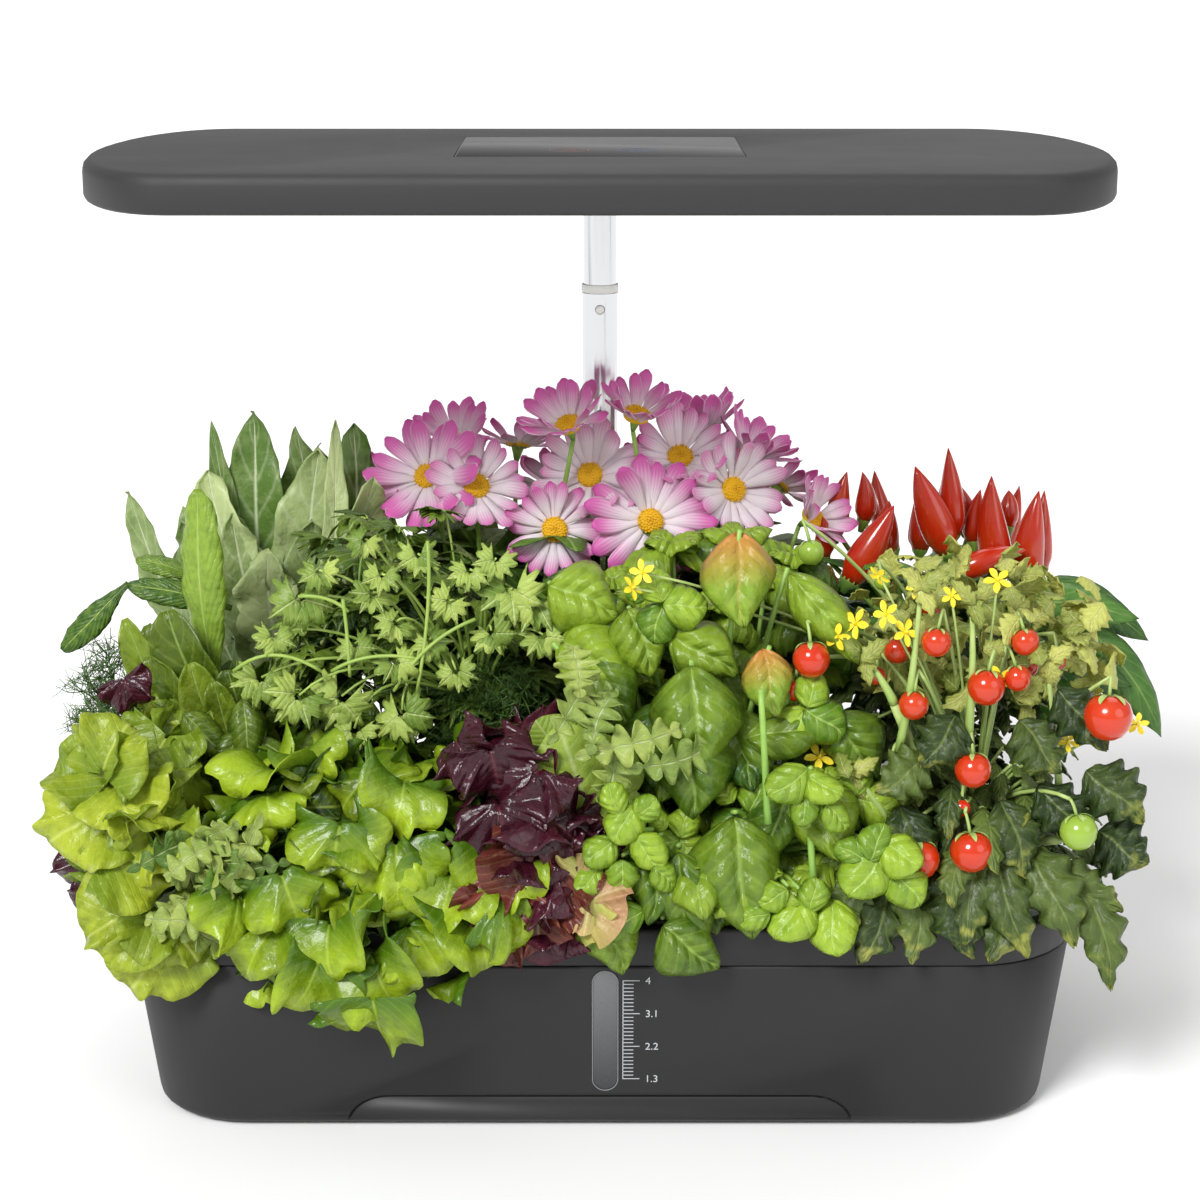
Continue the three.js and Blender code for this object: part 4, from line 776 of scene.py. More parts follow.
def pose(form, middle, facing, spin, length, width=None, curl=0.9, tint_and_shade=0.5):
    """A leaf by its middle, in mm, and the way that it faces. Spin turns its tip, from 0 at the right."""
    curl = bent(curl)
    points, faces, uv, tint_and_shade = lay(form, (0, 0, 0), 0.0, curl / 2, curl, length, width, 0.0, tint_and_shade)
    return moved((points - (length * math.sin(curl / 2) / curl, 0, 0), faces, uv, tint_and_shade), middle, facing, spin)


def span(form, foot, tip, facing, width, curl=0.4, tint_and_shade=0.5):
    """A leaf from its foot to its tip whose face looks, as nearly as its rib lets it, a given way."""
    foot, tip = np.asarray(foot, float), np.asarray(tip, float)
    rib, chord = (tip - foot) / np.linalg.norm(tip - foot), np.linalg.norm(tip - foot)
    face = np.asarray(facing, float) - rib * np.dot(facing, rib)
    face /= np.linalg.norm(face)
    curl = bent(curl)
    length = chord * (curl / 2) / math.sin(curl / 2)
    points, faces, uv, tint_and_shade = lay(form, (0, 0, 0), 0.0, curl / 2, curl, length, width, 0.0, tint_and_shade)
    return points @ np.array([rib, np.cross(face, rib), face]) + foot, faces, uv, tint_and_shade


clump_top_share = 0.97  # of a clump's height, for its highest leaf


def clump(
    forms, centre, radii, count, rng, sizes, low=-0.5, lift=0.5, slant=0.7,
    shade=(0.2, 1), near=0.86, curls=(-0.5, 1.6), stray=0.3,
):
    """Leaves all over a dome, tips down, each at a slant of its own. What stands further in gets painted
    shade.
    """
    centre, radii = np.asarray(centre, float), np.asarray(radii, float)
    leaves = []
    for index in range(count):
        level = low + (clump_top_share - low) * (index + 0.5) / count
        way, ring = round_way(index, level, rng)
        facing = way / radii / np.linalg.norm(way / radii) + (0, 0, lift * ring) + rng.normal(0, stray, 3)
        depth = rng.uniform(0, 1)
        middle = centre + radii * way * (near + (1 - near) * depth)
        spin, length = -math.pi / 2 + rng.normal(0, slant), rng.uniform(*sizes)
        form = pick(forms, rng)
        # Painted shade: a leaf is darker the further in it stands.
        tint_and_shade = shade[0] + (shade[1] - shade[0]) * (0.65 * depth + 0.35 * rng.uniform(0, 1))
        leaves.append(pose(form, middle, facing, spin, length, None, rng.uniform(*curls), tint_and_shade))
    return leaves


def to_camera(rng, tilt=0.3, spread=0.35):
    """A way to the front, tilted up, with a random spread."""
    return np.array([0, -1, tilt]) + rng.normal(0, spread, 3)


def wander(rng, size):
    """A random shift of up to size mm each way."""
    return rng.uniform(-size, size, 3)


# Front lettuces: a loose-leaf head at the left end and a lobed oak-leaf head beside it, from the first pod.
# Their outer leaves fold over the rim and hang in front of the tank.
pod = "front_1"
root = crown(pod)
oak_centre = (-92, -76, 86)
oak_radii = (68, 42, 66)
loose_centre = (-178, -64, 112)
loose_radii = (20, 42, 38)


def round_leaf(angle):
    """Outline of a loose lettuce leaf: a broad fan with a faintly waved edge."""
    return 0.6 + 0.36 * np.cos(0.8 * angle) + 0.025 * np.cos(9 * angle)


def oak(angle):
    """Outline of an oak-leaf lettuce leaf: a fan with round lobes."""
    return 0.55 + 0.24 * np.cos(0.85 * angle) + 0.2 * np.abs(np.cos(3.3 * angle)) ** 0.8


def ragged(v):
    """Outline of a frisee leaf: long, and cut deeply into teeth."""
    return lance(v) * (0.2 + 0.8 * np.abs(np.sin(5.5 * math.pi * v)) ** 0.9)


oak_forms = []
for index in range(6):
    cup, ruffles = 0.9 - 0.3 * index, 2.6 + 0.4 * index
    oak_forms.append(
        fan(5, 32, 1.75, oak, cup=cup, ruffle=0.19, ruffles=ruffles, fold=0.12, quilt=0.03, seed=index)
    )
loose_forms = several(
    5, fan, 7, 60, 1.9, round_leaf, cup=0.3, ruffle=0.12, ruffles=5.0, fold=0.14, quilt=0.07
)
frisee_forms = several(4, strap, 44, 6, ragged, cup=0.3, ruffle=0.12, ruffles=4, quilt=0.04)
# The oak-leaf and loose-leaf lettuces are painted darker at each leaf's foot with young, as painted shade.
oak_green = foliage(
    "oak-leaf lettuce", "#9db722", "#1d3706", "#bcd258", young="#4a6e0e", gloss=0.32, glow=0.1, blotch=5,
    ribbed=0.22, wax=0.2, puff=0.1
)
loose_green = foliage(
    "loose-leaf lettuce", "#abba30", "#42660e", "#cad66c", young="#768f22", gloss=0.34, glow=0.14, blotch=4,
    ribbed=0.35, wax=0.1, puff=0.4
)
frisee_green = foliage(
    "frisee", "#a6b85c", "#567a2a", "#b9c98a", veins=9, gloss=0.42, glow=0.2, blotch=8, ribbed=0.6, puff=0.1
)
rng = np.random.default_rng(11)
# The inner layer of oak leaves is painted dark, as painted shade under the outer ones.
leaves = clump(oak_forms, oak_centre, np.multiply(oak_radii, 0.7), 36, rng, (24, 30), shade=(-0.3, 0.2))
spread = {"low": -0.42, "lift": 1.3, "slant": 1.3, "near": 0.68, "curls": (-0.6, 2.6), "stray": 0.6}
leaves += clump(oak_forms, oak_centre, oak_radii, 168, rng, (16, 26), shade=(-0.6, 1.3), **spread)
hanging_leaves = [
    (-83, 58, 26, 0.0), (-80, 72, 25, 0.5), (-112, 70, 24, -0.5), (-100, 82, 25, 0.2), (-66, 82, 25, 0.4),
    (-128, 84, 26, -0.3), (-46, 86, 25, 0.2), (-140, 92, 24, -0.5), (-30, 92, 28, 0.4), (-36, 108, 25, 0.1),
    (-90, 96, 26, -0.4), (-58, 100, 26, -0.2), (-116, 100, 26, 0.3), (-76, 110, 26, 0.1),
    (-100, 118, 25, -0.2)
]
for x, z, length, swing in hanging_leaves:
    y = -128 + 0.25 * (z - 56)
    form = pick(oak_forms, rng)
    facing, curl, tint_and_shade = to_camera(rng), rng.uniform(0.2, 1.5), rng.uniform(0.5, 1)
    leaves.append(pose(form, (x, y, z), facing, swing - math.pi / 2, length, None, curl, tint_and_shade))
grow("oak_leaf_lettuce", leaves, oak_green, pod, "lettuce_leaf", ["plant_front_lettuce"], sheet=0.4)
spread = {"low": -0.4, "lift": 0.9, "slant": 1.1, "near": 0.7, "stray": 0.55}
leaves = clump(loose_forms, loose_centre, loose_radii, 40, rng, (20, 30), shade=(-0.4, 1.1), **spread)
loose_hung = [
    (-196, -88, 146, 26, 2.4), (-184, -92, 154, 24, 1.2), (-198, -96, 124, 30, -2.6),
    (-180, -100, 132, 28, -1.2), (-170, -104, 114, 28, -1.3), (-184, -106, 88, 30, -2.6),
    (-172, -110, 74, 28, -2.2), (-160, -110, 84, 24, -1.0)
]
for x, y, z, length, spin in loose_hung:
    form = pick(loose_forms, rng)
    facing, tint_and_shade = to_camera(rng, 0.3, 0.25), rng.uniform(0.5, 1)
    leaves.append(pose(form, (x, y, z), facing, spin, length, None, 0.9, tint_and_shade))
grow("loose_leaf_lettuce", leaves, loose_green, pod, "lettuce_leaf", ["plant_front_lettuce"], sheet=0.4)
leaves = []
for _ in range(18):
    middle = np.array([-146, -110, 112]) + rng.normal(0, 1, 3) * (12, 4, 10)
    form, facing, spin = pick(frisee_forms, rng), to_camera(rng), rng.uniform(0, turn_full)
    leaves.append(pose(form, middle, facing, spin, rng.uniform(24, 38), 14, 0.9, rng.uniform(0, 1)))
grow("frisee_left", leaves, frisee_green, pod, "lettuce_leaf", sheet=0.35)
pale_stalk = stalk_skin("pale lettuce stalk", "#c5dc84", "#a9c766")
cores = []
for centre in (oak_centre, loose_centre):
    cores.append(stem(bow(root, np.array(centre) + (0, 0, 22), (0, 0, 3), 8), 5, 9, 10))
grow("lettuce_stalks", cores, pale_stalk, pod, "lettuce_leaf")

# Red lettuce: a frilled head of dark, purple leaves with browner skirts, from the second front pod.
# Young red leaves, round butterhead leaves and thin frisee leaves stand round it.
pod = "front_2"
root = crown(pod)
red_centre = (-26, -76, 104)
red_radii = (28, 38, 46)


def frilled_leaf(angle):
    """Outline of a red lettuce leaf: a fan with a finely scalloped edge."""
    return 0.6 + 0.34 * np.cos(0.8 * angle) + 0.03 * np.cos(11 * angle)


frilled = several(5, fan, 7, 60, 1.75, frilled_leaf, cup=0.2, ruffle=0.14, ruffles=6.0, fold=0.16, quilt=0.05)
butter_forms = several(3, fan, 8, 30, 2.2, round_leaf, cup=-0.4, ruffle=0.025, ruffles=5, quilt=0.05)
red_green = foliage(
    "red lettuce", "#4a1526", "#1c0810", "#6e2f3a", gloss=0.2, glow=0.1, blotch=5, ribbed=0.3, wax=0.2,
    puff=0.4
)
brown_green = foliage(
    "browning red lettuce", "#7d3b30", "#47201f", "#a58a58", gloss=0.28, glow=0.2, blotch=5, ribbed=0.5
)
pink_green = foliage(
    "young red lettuce", "#cfae7e", "#a9604e", "#dccb90", young="#b8bc62", gloss=0.36, glow=0.3, blotch=6,
    ribbed=0.4
)
butter_green = foliage(
    "butterhead lettuce", "#a9c24a", "#7f9f35", "#cddb92", gloss=0.45, glow=0.3, blotch=4, ribbed=0.4
)


def front_leaves(forms, rng, places, y, curl, width=None, tilt=0.2, darkest=0.2):
    """Leaves that face the camera. Each place has its x, its z, the leaf's length and its slant."""
    leaves = []
    for x, z, length, spin in places:
        form, facing, tint_and_shade = pick(forms, rng), to_camera(rng, 0.2, tilt), rng.uniform(darkest, 1)
        leaves.append(pose(form, (x, y, z), facing, spin, length, width, curl, tint_and_shade))
    return leaves


rng = np.random.default_rng(12)
leaves = clump(frilled, red_centre, red_radii, 40, rng, (24, 32), low=-0.4, lift=0.7, slant=1.0)
red_leaves = [
    (-40, -104, 148, 24), (-28, -108, 140, 25), (-34, -112, 126, 26), (-20, -112, 130, 26),
    (-10, -110, 120, 25), (-22, -114, 116, 24), (-48, -104, 154, 18), (-203, -78, 96, 16),
    (-200, -80, 86, 13), (-184, -52, 163, 15)
]
for x, y, z, length in red_leaves:
    facing, form = to_camera(rng, 0.2), pick(frilled, rng)
    spin, tint_and_shade = rng.uniform(-2.6, -0.6), rng.uniform(0.3, 1)
    leaves.append(pose(form, (x, y, z), facing, spin, length, None, 1.0, tint_and_shade))
grow("red_lettuce", leaves, red_green, pod, "red_leaf", ["plant_front_red_lettuce"], sheet=0.4)
brown_leaves = [
    (-28, 108, 30, -2.0), (-16, 102, 26, -1.4), (-22, 92, 24, -1.5), (-40, 88, 26, -2.0),
    (-32, 97, 26, -1.4)
]
grow("brown_lettuce", front_leaves(frilled, rng, brown_leaves, -117, 1.0), brown_green, pod, "red_leaf")
pink_leaves = [(1, 104, 24, 0.4), (-12, 102, 20, -2.6), (-6, 97, 16, -1.4)]
grow("young_red_lettuce", front_leaves(frilled, rng, pink_leaves, -119, 0.8), pink_green, pod, "red_leaf")
leaves = []
butter_leaves = [
    (-10, -100, 148, 33, 1.9), (2, -100, 122, 24, -1.2), (-2, -104, 112, 22, -2.0), (-20, -92, 158, 16, 2.2)
]
for x, y, z, length, spin in butter_leaves:
    form, facing, tint_and_shade = pick(butter_forms, rng), to_camera(rng, 0.2, 0.15), rng.uniform(0.2, 1)
    leaves.append(pose(form, (x, y, z), facing, spin, length, None, 0.7, tint_and_shade))
grow("butterhead_leaves", leaves, butter_green, pod, "lettuce_leaf")
cut_leaves = [
    (-12, 174, 32, 0.9), (0, 168, 26, 1.4), (10, 160, 42, 0.25), (26, 154, 36, 0.1), (4, 150, 26, -2.0),
    (-8, 188, 20, 1.7)
]
leaves = front_leaves(frisee_forms, rng, cut_leaves, -108, 0.7, 18, tilt=0.3, darkest=0.3)
grow("frisee_middle", leaves, frisee_green, pod, "lettuce_leaf", sheet=0.35)
core = stem(bow(root, np.array(red_centre) + (0, 0, 12), (0, 0, 3)), 5, 8, 10)
grow("red_lettuce_stalk", [core], pale_stalk, pod, "red_leaf")

# Basil: upright stems with pairs of broad, puckered and glossy leaves, each pair crosswise to the last.
# Two pods carry it: a low, young one in front and a tall one behind.
basil_forms, big_basil_forms = (
    several(5, strap, rows, columns, egg, cup=-0.6, bulge=0.12, ruffle=0.03, quilt=0.1, veins=5)
    for rows, columns in ((14, 8), (24, 14))
)
round_basil_forms = several(4, strap, 14, 10, disc, cup=-0.45, bulge=0.08, ruffle=0.03, quilt=0.05, veins=4)
basil_green = foliage(
    "sweet basil", "#8ca82e", "#2e5212", "#a8c862", veins=5, gloss=0.28, glow=0.12, blotch=9, ribbed=0.3,
    wax=0.15, puff=2.2
)
bright_green = foliage(
    "young basil", "#9cba34", "#3e6e18", "#b4d26c", veins=4, gloss=0.3, glow=0.14, blotch=7, ribbed=0.4,
    wax=0.15, puff=1.6
)
green_stalk = stalk_skin("green stem", "#a9cc66", "#7aa544")


def basil_sprig(leaves, stems, rng, foot, top, size, pairs, lift=(0, 0, 10)):
    """One basil stem with its pairs of leaves, and a tuft of young leaves at its top."""
    path = bow(foot, top, lift, 10)
    stems.append(stem(path, 1.7, 0.9, 7))
    start = rng.uniform(0, math.pi)
    for pair in range(pairs):
        share = 0.35 + 0.6 * pair / max(pairs - 1, 1)
        node = path[round(share * 10)]
        length = size * (1.0 - 0.3 * share) * rng.uniform(0.9, 1.15)
        for side in (0, math.pi):
            heading = start + pair * math.pi / 2 + side + rng.uniform(-0.25, 0.25)
            form = pick(basil_forms, rng)
            lean, curl = rng.uniform(0.1, 0.6), rng.uniform(1.2, 2.2)
            roll, tint_and_shade = rng.uniform(-0.3, 0.3), rng.uniform(0, 1)
            leaves.append(lay(form, node, heading, lean, curl, length, length * 0.8, roll, tint_and_shade))
    for index in range(4):
        heading = start + index * math.pi / 2
        leaves.append(lay(basil_forms[index], path[-1], heading, 1.0, 1.2, size * 0.4, size * 0.34, 0.0, 1.0))


front_tops = [
    (12, -98, 112), (34, -104, 108), (60, -104, 104), (96, -100, 112), (88, -84, 138), (56, -76, 150),
    (28, -76, 148), (4, -82, 140), (104, -76, 128), (44, -56, 172), (76, -62, 160), (14, -60, 168)
]
tall_tops = [
    (20, -30, 192), (44, -28, 188), (66, -24, 198), (86, -26, 184), (4, -10, 194), (30, 4, 206),
    (56, 8, 208), (80, 8, 200)
]
for name, pod, seed, size, tops, node in (
    ("front_basil", "front_3", 21, 36, front_tops, "plant_front_basil"),
    ("tall_basil", "middle_3", 22, 44, tall_tops, "plant_middle_basil"),
):
    rng = np.random.default_rng(seed)
    root = crown(pod)
    leaves, stems = [], []
    for top in tops:
        foot = root + (rng.uniform(-6, 6), rng.uniform(-6, 6), 0)
        lean = (np.array(top) - root) * (0.25, 0.25, 0)
        basil_sprig(leaves, stems, rng, foot, top, size, 4, lean)
    grow(name + "_leaves", leaves, basil_green, pod, "basil_leaf", [node], sheet=0.45)
    grow(name + "_stems", stems, green_stalk, pod, "basil_leaf")

# Big basil leaves: the full-grown ones that face the front, over bunches of small bright ones at the rim.
# Each has its middle, length and width in mm, its slant in radians and how pale it is, from the top down.
big_leaves = [
    (-6, -66, 205, 30, 30, -0.4, 1.0),
    (-3, -72, 183, 32, 34, -0.3, 0.9),
    (16, -74, 190, 28, 26, -1.2, 0.7),
    (40, -76, 186, 32, 24, -0.5, 0.7),
    (4, -78, 172, 36, 24, -1.0, 0.3),
    (86, -76, 200, 46, 19, -0.9, 0.8),
    (36, -96, 164, 46, 36, -1.5, 0.4),
    (34, -98, 146, 38, 34, -1.4, 0.2),
    (22, -88, 154, 34, 26, -1.9, 0.1),
    (56, -84, 150, 36, 26, -1.1, 0.3),
    (72, -90, 158, 34, 18, 0.1, 0.4),
    (53, -112, 108, 48, 38, -1.5, 0.4),
    (33, -112, 98, 42, 24, -1.4, 0.3),
    (20, -110, 106, 34, 24, -1.7, 0.2),
    (4, -118, 86, 30, 24, -1.2, 0.5),
    (34, -118, 82, 30, 26, -0.8, 0.3),
    (84, -104, 128, 36, 30, -0.8, 0.7),
    (66, -100, 124, 30, 22, -1.9, 0.2),
    (98, -84, 150, 34, 26, -1.0, 0.3),
]
rng = np.random.default_rng(23)
root = crown("front_3")
leaves, stems = [], []
for x, y, z, length, width, spin, tint_and_shade in big_leaves:
    middle = np.array([x, y, z])
    facing, curl = to_camera(rng, 0.35, 0.2), rng.uniform(0.5, 1.4)
    leaves.append(pose(pick(big_basil_forms, rng), middle, facing, spin, length, width, curl, tint_and_shade))
    foot = middle + (-math.cos(spin) * length / 2, length * 0.15, -math.sin(spin) * length / 2)
    stems.append(stem(bow(root, foot, (0, 10, 14)), 1.7, 0.9, 7))
grow("big_basil_leaves", leaves, basil_green, "front_3", "basil_leaf", sheet=0.5)
blushed_green = foliage(
    "blushed basil", "#93b23c", "#3f6a1c", "#d0b868", young="#cf8a45", veins=5, gloss=0.32, glow=0.16,
    blotch=8, ribbed=0.3, puff=2.0
)
leaves = []
for x, y, z, length, width, spin in ((53, -76, 215, 38, 29, -1.55), (64, -92, 179, 27, 20, -1.4)):
    middle = np.array([x, y, z])
    leaves.append(pose(pick(big_basil_forms, rng), middle, (0.05, -1, 0.4), spin, length, width, 0.9, 0.8))
    stems.append(stem(bow(root, middle + (0, 3, length / 2), (0, 14, 10)), 1.7, 0.9, 7))
grow("blushed_basil_leaves", leaves, blushed_green, "front_3", "basil_leaf", sheet=0.5)
young_leaves = [
    (72, 95, 21, 20, -1.9, 0.8), (88, 91, 23, 20, -1.4, 0.9), (65, 103, 13, 13, -2.6, 0.6),
    (80, 104, 14, 13, 1.4, 0.5), (58, 95, 13, 12, -2.9, 0.5), (100, 113, 24, 22, -2.2, 0.7),
    (112, 120, 20, 19, -0.5, 0.9), (115, 107, 18, 18, -0.9, 0.6), (103, 125, 16, 14, 1.2, 0.4),
    (94, 121, 14, 12, 2.7, 0.3), (70, 148, 20, 16, -2.6, 0.6), (82, 147, 18, 14, -0.6, 0.8),
    (76, 138, 14, 12, -1.5, 0.4), (88, 135, 14, 12, -0.9, 0.6), (9, 132, 17, 16, -2.0, 0.7),
    (18, 121, 17, 16, -0.9, 0.8), (0, 121, 15, 14, -2.4, 0.6), (5, 142, 13, 12, 2.0, 0.7),
    (17, 138, 13, 12, 0.8, 0.5), (8, 111, 15, 14, -1.6, 0.4), (24, 111, 13, 12, -0.8, 0.5),
    (-4, 110, 14, 13, -2.4, 0.7), (-6, 97, 15, 14, -2.2, 0.4), (6, 93, 25, 17, -2.8, 0.3)
]
leaves = []
for x, z, length, width, spin, tint_and_shade in young_leaves:
    middle = np.array([x, -118 - length * 0.05 * tint_and_shade, z])
    facing = to_camera(rng, 0.4, 0.25)
    form, curl = pick(round_basil_forms, rng), rng.uniform(0.6, 1.3)
    leaves.append(pose(form, middle, facing, spin, length, width, curl, tint_and_shade))
    foot = middle + (-math.cos(spin) * length / 2, 3, -math.sin(spin) * length / 2)
    stems.append(stem(bow(root, foot, (0, 8, 16)), 1.4, 0.8, 7))
# Each leaf of a bunch has its heading in radians, and its reach and length as shares of the bunch's size.
bunch_shares = [(-2.4, 0.46, 1.0), (-0.6, 0.5, 1.1), (1.4, 0.42, 0.85), (2.6, 0.62, 0.6), (-1.5, 0.05, 0.4)]
bunches = [
    (24, -76, 206, 17), (44, -98, 96, 18), (56, -94, 128, 18), (98, -92, 134, 18), (30, -100, 120, 16),
    (78, -88, 168, 18)
]
for x, y, z, size in bunches:
    top = np.array([x, y, z])
    stems.append(stem(bow(root, top + (0, 4, 0), (0, -6, 20)), 1.4, 0.9, 7))
    turned = rng.uniform(-0.4, 0.4)
    for heading, reach, share in bunch_shares:
        heading += turned + rng.uniform(-0.25, 0.25)
        out = np.array([math.cos(heading), (0.8 - share) * 0.6, math.sin(heading)]) * size * reach
        facing = out / size * 0.7 + (0, -1, 0.45)
        form = pick(round_basil_forms, rng)
        length = size * share
        leaves.append(pose(form, top + out, facing, heading, length, length, 1.1, rng.uniform(0.1, 1.1)))
grow("young_basil_leaves", leaves, bright_green, "front_3", "basil_leaf", sheet=0.4)
for x, low, high in ((60, 130, 180), (78, 100, 140)):
    stems.append(stem(bow((x + 3, -112, low), (x, -104, high), (0, -4, 0)), 1.5, 1.2, 8))
grow("big_basil_stems", stems, green_stalk, "front_3", "basil_leaf")

# Romaine and endive: tall leaves with a stout pale rib, some broad and dark, some long and grey-green.
# They stand at the left end, behind the lettuce, with one blistered savoy leaf and a few arching ones.
romaine_forms = several(4, strap, 18, 10, lance, cup=0.45, ruffle=0.06, ruffles=3, quilt=0.05, veins=9)
savoy_forms = several(2, strap, 30, 12, lance, cup=-0.3, ruffle=0.05, ruffles=5, quilt=0.12, veins=14)


def tapered(v):
    """Outline of an endive leaf: broadest past its middle, and drawn to a point."""
    return np.clip(np.sin(math.pi * np.clip(v, 0, 1) ** 1.35), 0.0004, 1) ** 0.7


endive_forms = several(
    5, strap, 26, 10, tapered, cup=0.25, ruffle=0.1, ruffles=4, quilt=0.06, veins=12, lobes=5, notch=0.14
)
romaine_green = foliage(
    "romaine lettuce", "#829828", "#304c10", "#a9c468", veins=9, slant=0.2, gloss=0.3, glow=0.14, blotch=6,
    ribbed=0.35
)
endive_green = foliage(
    "endive", "#bccb8e", "#5c7c33", "#e6eecb", veins=9, slant=0.15, gloss=0.4, glow=0.2, ribbed=0.4
)
savoy_green = foliage(
    "savoy", "#8fae3c", "#2c5414", "#b9d070", veins=12, gloss=0.3, glow=0.12, blotch=3, ribbed=0.4
)


def outward(place, centre, rng, spread=0.35):
    """A way to the front for what grows before the centre, and to the back for what grows behind it."""
    side = -1.0 if place[1] <= centre[1] + 8 else 1.0
    return np.array([(place[0] - centre[0]) * 0.01, side, 0.25]) + rng.normal(0, spread, 3)


rng = np.random.default_rng(31)
root = crown("middle_1")
leaves = []
for foot, tip, _ in dome((-158, -8, 88), (46, 32, 88), 40, rng, low=0.0):
    facing = outward(tip, root, rng, 0.5)
    form, width = pick(romaine_forms, rng), rng.uniform(22, 32)
    leaves.append(span(form, foot, tip, facing, width, rng.uniform(-0.4, 1.0), rng.uniform(0, 1)))
romaine_tips = [
    ((-192, -22, 185), 16, 0.9), ((-172, -26, 190), 27, 0.3), ((-164, -38, 171), 20, 0.8),
    ((-155, -40, 164), 16, 0.6), ((-180, -30, 172), 22, 0.5), ((-148, -36, 168), 22, 0.2),
    ((-186, -6, 178), 20, 0.4)
]
for tip, width, tint_and_shade in romaine_tips:
    foot = root * (0.5, 0.5, 0) + np.array(tip) * (0.5, 0.5, 0) + (0, -6, 118)
    form, facing = pick(romaine_forms, rng), (rng.uniform(-0.5, 0.5), -1, 0.2)
    leaves.append(span(form, foot, tip, facing, width, 0.5, tint_and_shade))
low_romaine = [
    (-147, 138), (-127, 140), (-164, 128), (-138, 150), (-120, 128), (-112, 142), (-132, 124), (-154, 148),
    (-104, 132)
]
for x, z in low_romaine:
    form, facing, spin = pick(basil_forms, rng), to_camera(rng, 0.5, 0.4), rng.uniform(-2.6, -0.5)
    leaves.append(pose(form, (x, -62, z), facing, spin, 27, 15, 0.8, 0.3))
grow("romaine_leaves", leaves, romaine_green, "middle_1", "dark_leaf", ["plant_middle_romaine"], sheet=0.5)
core = stem(bow(root, (-158, -8, 108), (0, 0, 2)), 6, 10, 12)
grow("romaine_stalk", [core], pale_stalk, "middle_1", "dark_leaf")
leaves = [
    span(savoy_forms[0], (-156, -16, 150), (-163, -10, 236), (-0.4, -1, 0.1), 20, 0.3, 0.8),
    span(savoy_forms[1], (-150, -8, 186), (-192, -6, 196), (0.1, -0.8, 0.6), 12, 0.3, 0.1),
    span(savoy_forms[0], (-192, -6, 196), (-219, -10, 168), (0.1, -0.8, 0.6), 12, 0.5, 0.1),
    span(savoy_forms[1], (-164, 0, 196), (-190, 4, 204), (0, -0.8, 0.7), 9, 0.5, 0.4),
]
grow("savoy_leaves", leaves, savoy_green, "middle_1", "dark_leaf", sheet=0.5)

# Each endive leaf that shows in front has its tip, its width, its curl and how dark or pale it is.
endive_tips = [
    ((-164, 46, 253), 13, 0.1, 0.1),
    ((-148, 52, 256), 32, 0.5, 0.0),
    ((-128, 50, 250), 26, -0.6, 0.2),
    ((-104, 56, 250), 32, 0.7, 0.0),
    ((-112, 46, 253), 12, 1.4, 0.9),
    ((-119, 40, 243), 34, 0.3, 0.7),
    ((-163, 38, 234), 33, 0.3, 1.2),
    ((-140, 26, 203), 34, 0.2, 1.4),
    ((-96, 32, 232), 33, -0.5, 1.0),
    ((-201, 48, 222), 18, 0.6, 0.4),
    ((-176, 42, 212), 30, 0.4, 0.2),
    ((-156, 34, 216), 28, 0.4, 0.5),
    ((-122, 32, 214), 28, 0.2, 0.4),
    ((-104, 28, 200), 26, 0.3, 0.8),
    ((-120, 68, 238), 28, 0.5, 0.3),
    ((-150, 78, 230), 28, 0.6, 0.5),
    ((-178, 72, 210), 28, 0.8, 0.4),
    ((-98, 78, 216), 28, 0.7, 0.6),
    ((-126, 94, 210), 30, 0.8, 0.3),
    ((-162, 98, 206), 30, 0.8, 0.7),
    ((-190, 62, 190), 28, 0.9, 0.4),
    ((-184, 92, 178), 28, 1.0, 0.6),
    ((-100, 100, 182), 28, 1.0, 0.2),
    ((-142, 110, 184), 30, 1.0, 0.5),
    ((-172, 108, 160), 28, 1.2, 0.3),
    ((-116, 110, 158), 28, 1.2, 0.6),
]
rng = np.random.default_rng(32)
root = crown("back_1")
leaves = []
for tip, width, curl, tint_and_shade in endive_tips:
    foot = root + (np.array(tip) - root) * (0.35, 0.35, 0) + (0, 0, 34)
    leaves.append(span(pick(endive_forms, rng), foot, tip, outward(tip, root, rng, 0.25), width, curl, tint_and_shade))
for foot, tip, _ in dome((-140, 62, 92), (44, 44, 92), 34, rng, low=-0.1):
    facing = outward(tip, root, rng, 0.4)
    form, width, curl = pick(endive_forms, rng), rng.uniform(24, 30), rng.uniform(0, 1)
    leaves.append(span(form, foot, tip, facing, width, curl, rng.uniform(-0.2, 0.5)))
grow("endive_leaves", leaves, endive_green, "back_1", "dark_leaf", ["plant_back_endive"], sheet=0.5)
core = stem(bow(root, (-134, 54, 108), (0, 0, 2)), 7, 15, 12)
grow("endive_stalk", [core], pale_stalk, "back_1", "dark_leaf")

# Cilantro and dill: thin, arching stalks with flat, three-lobed leaflets, and dill's feathery threads.
# They fill the middle of the left half.
def parsley(angle):
    """Outline of a cilantro leaflet: three lobes with toothed ends."""
    return 0.56 + 0.34 * np.cos(5.1 * angle) ** 2 + 0.06 * np.cos(15 * angle)


cilantro_forms = several(4, fan, 3, 24, 1.75, parsley, cup=-0.35, ruffle=0.05, ruffles=4)
cilantro_green = foliage("cilantro", "#7a9430", "#294612", "#a5c566", veins=5, gloss=0.36, glow=0.2, blotch=6)
cilantro_pale = foliage(
    "young cilantro", "#b4c864", "#6c8c30", "#d2e098", veins=5, gloss=0.38, glow=0.24, blotch=5
)
herb_stalk = stalk_skin("cilantro stalk", "#b9cf6c", "#8aa848")
rng = np.random.default_rng(41)
root = crown("middle_2")
leaves, stems = [], []


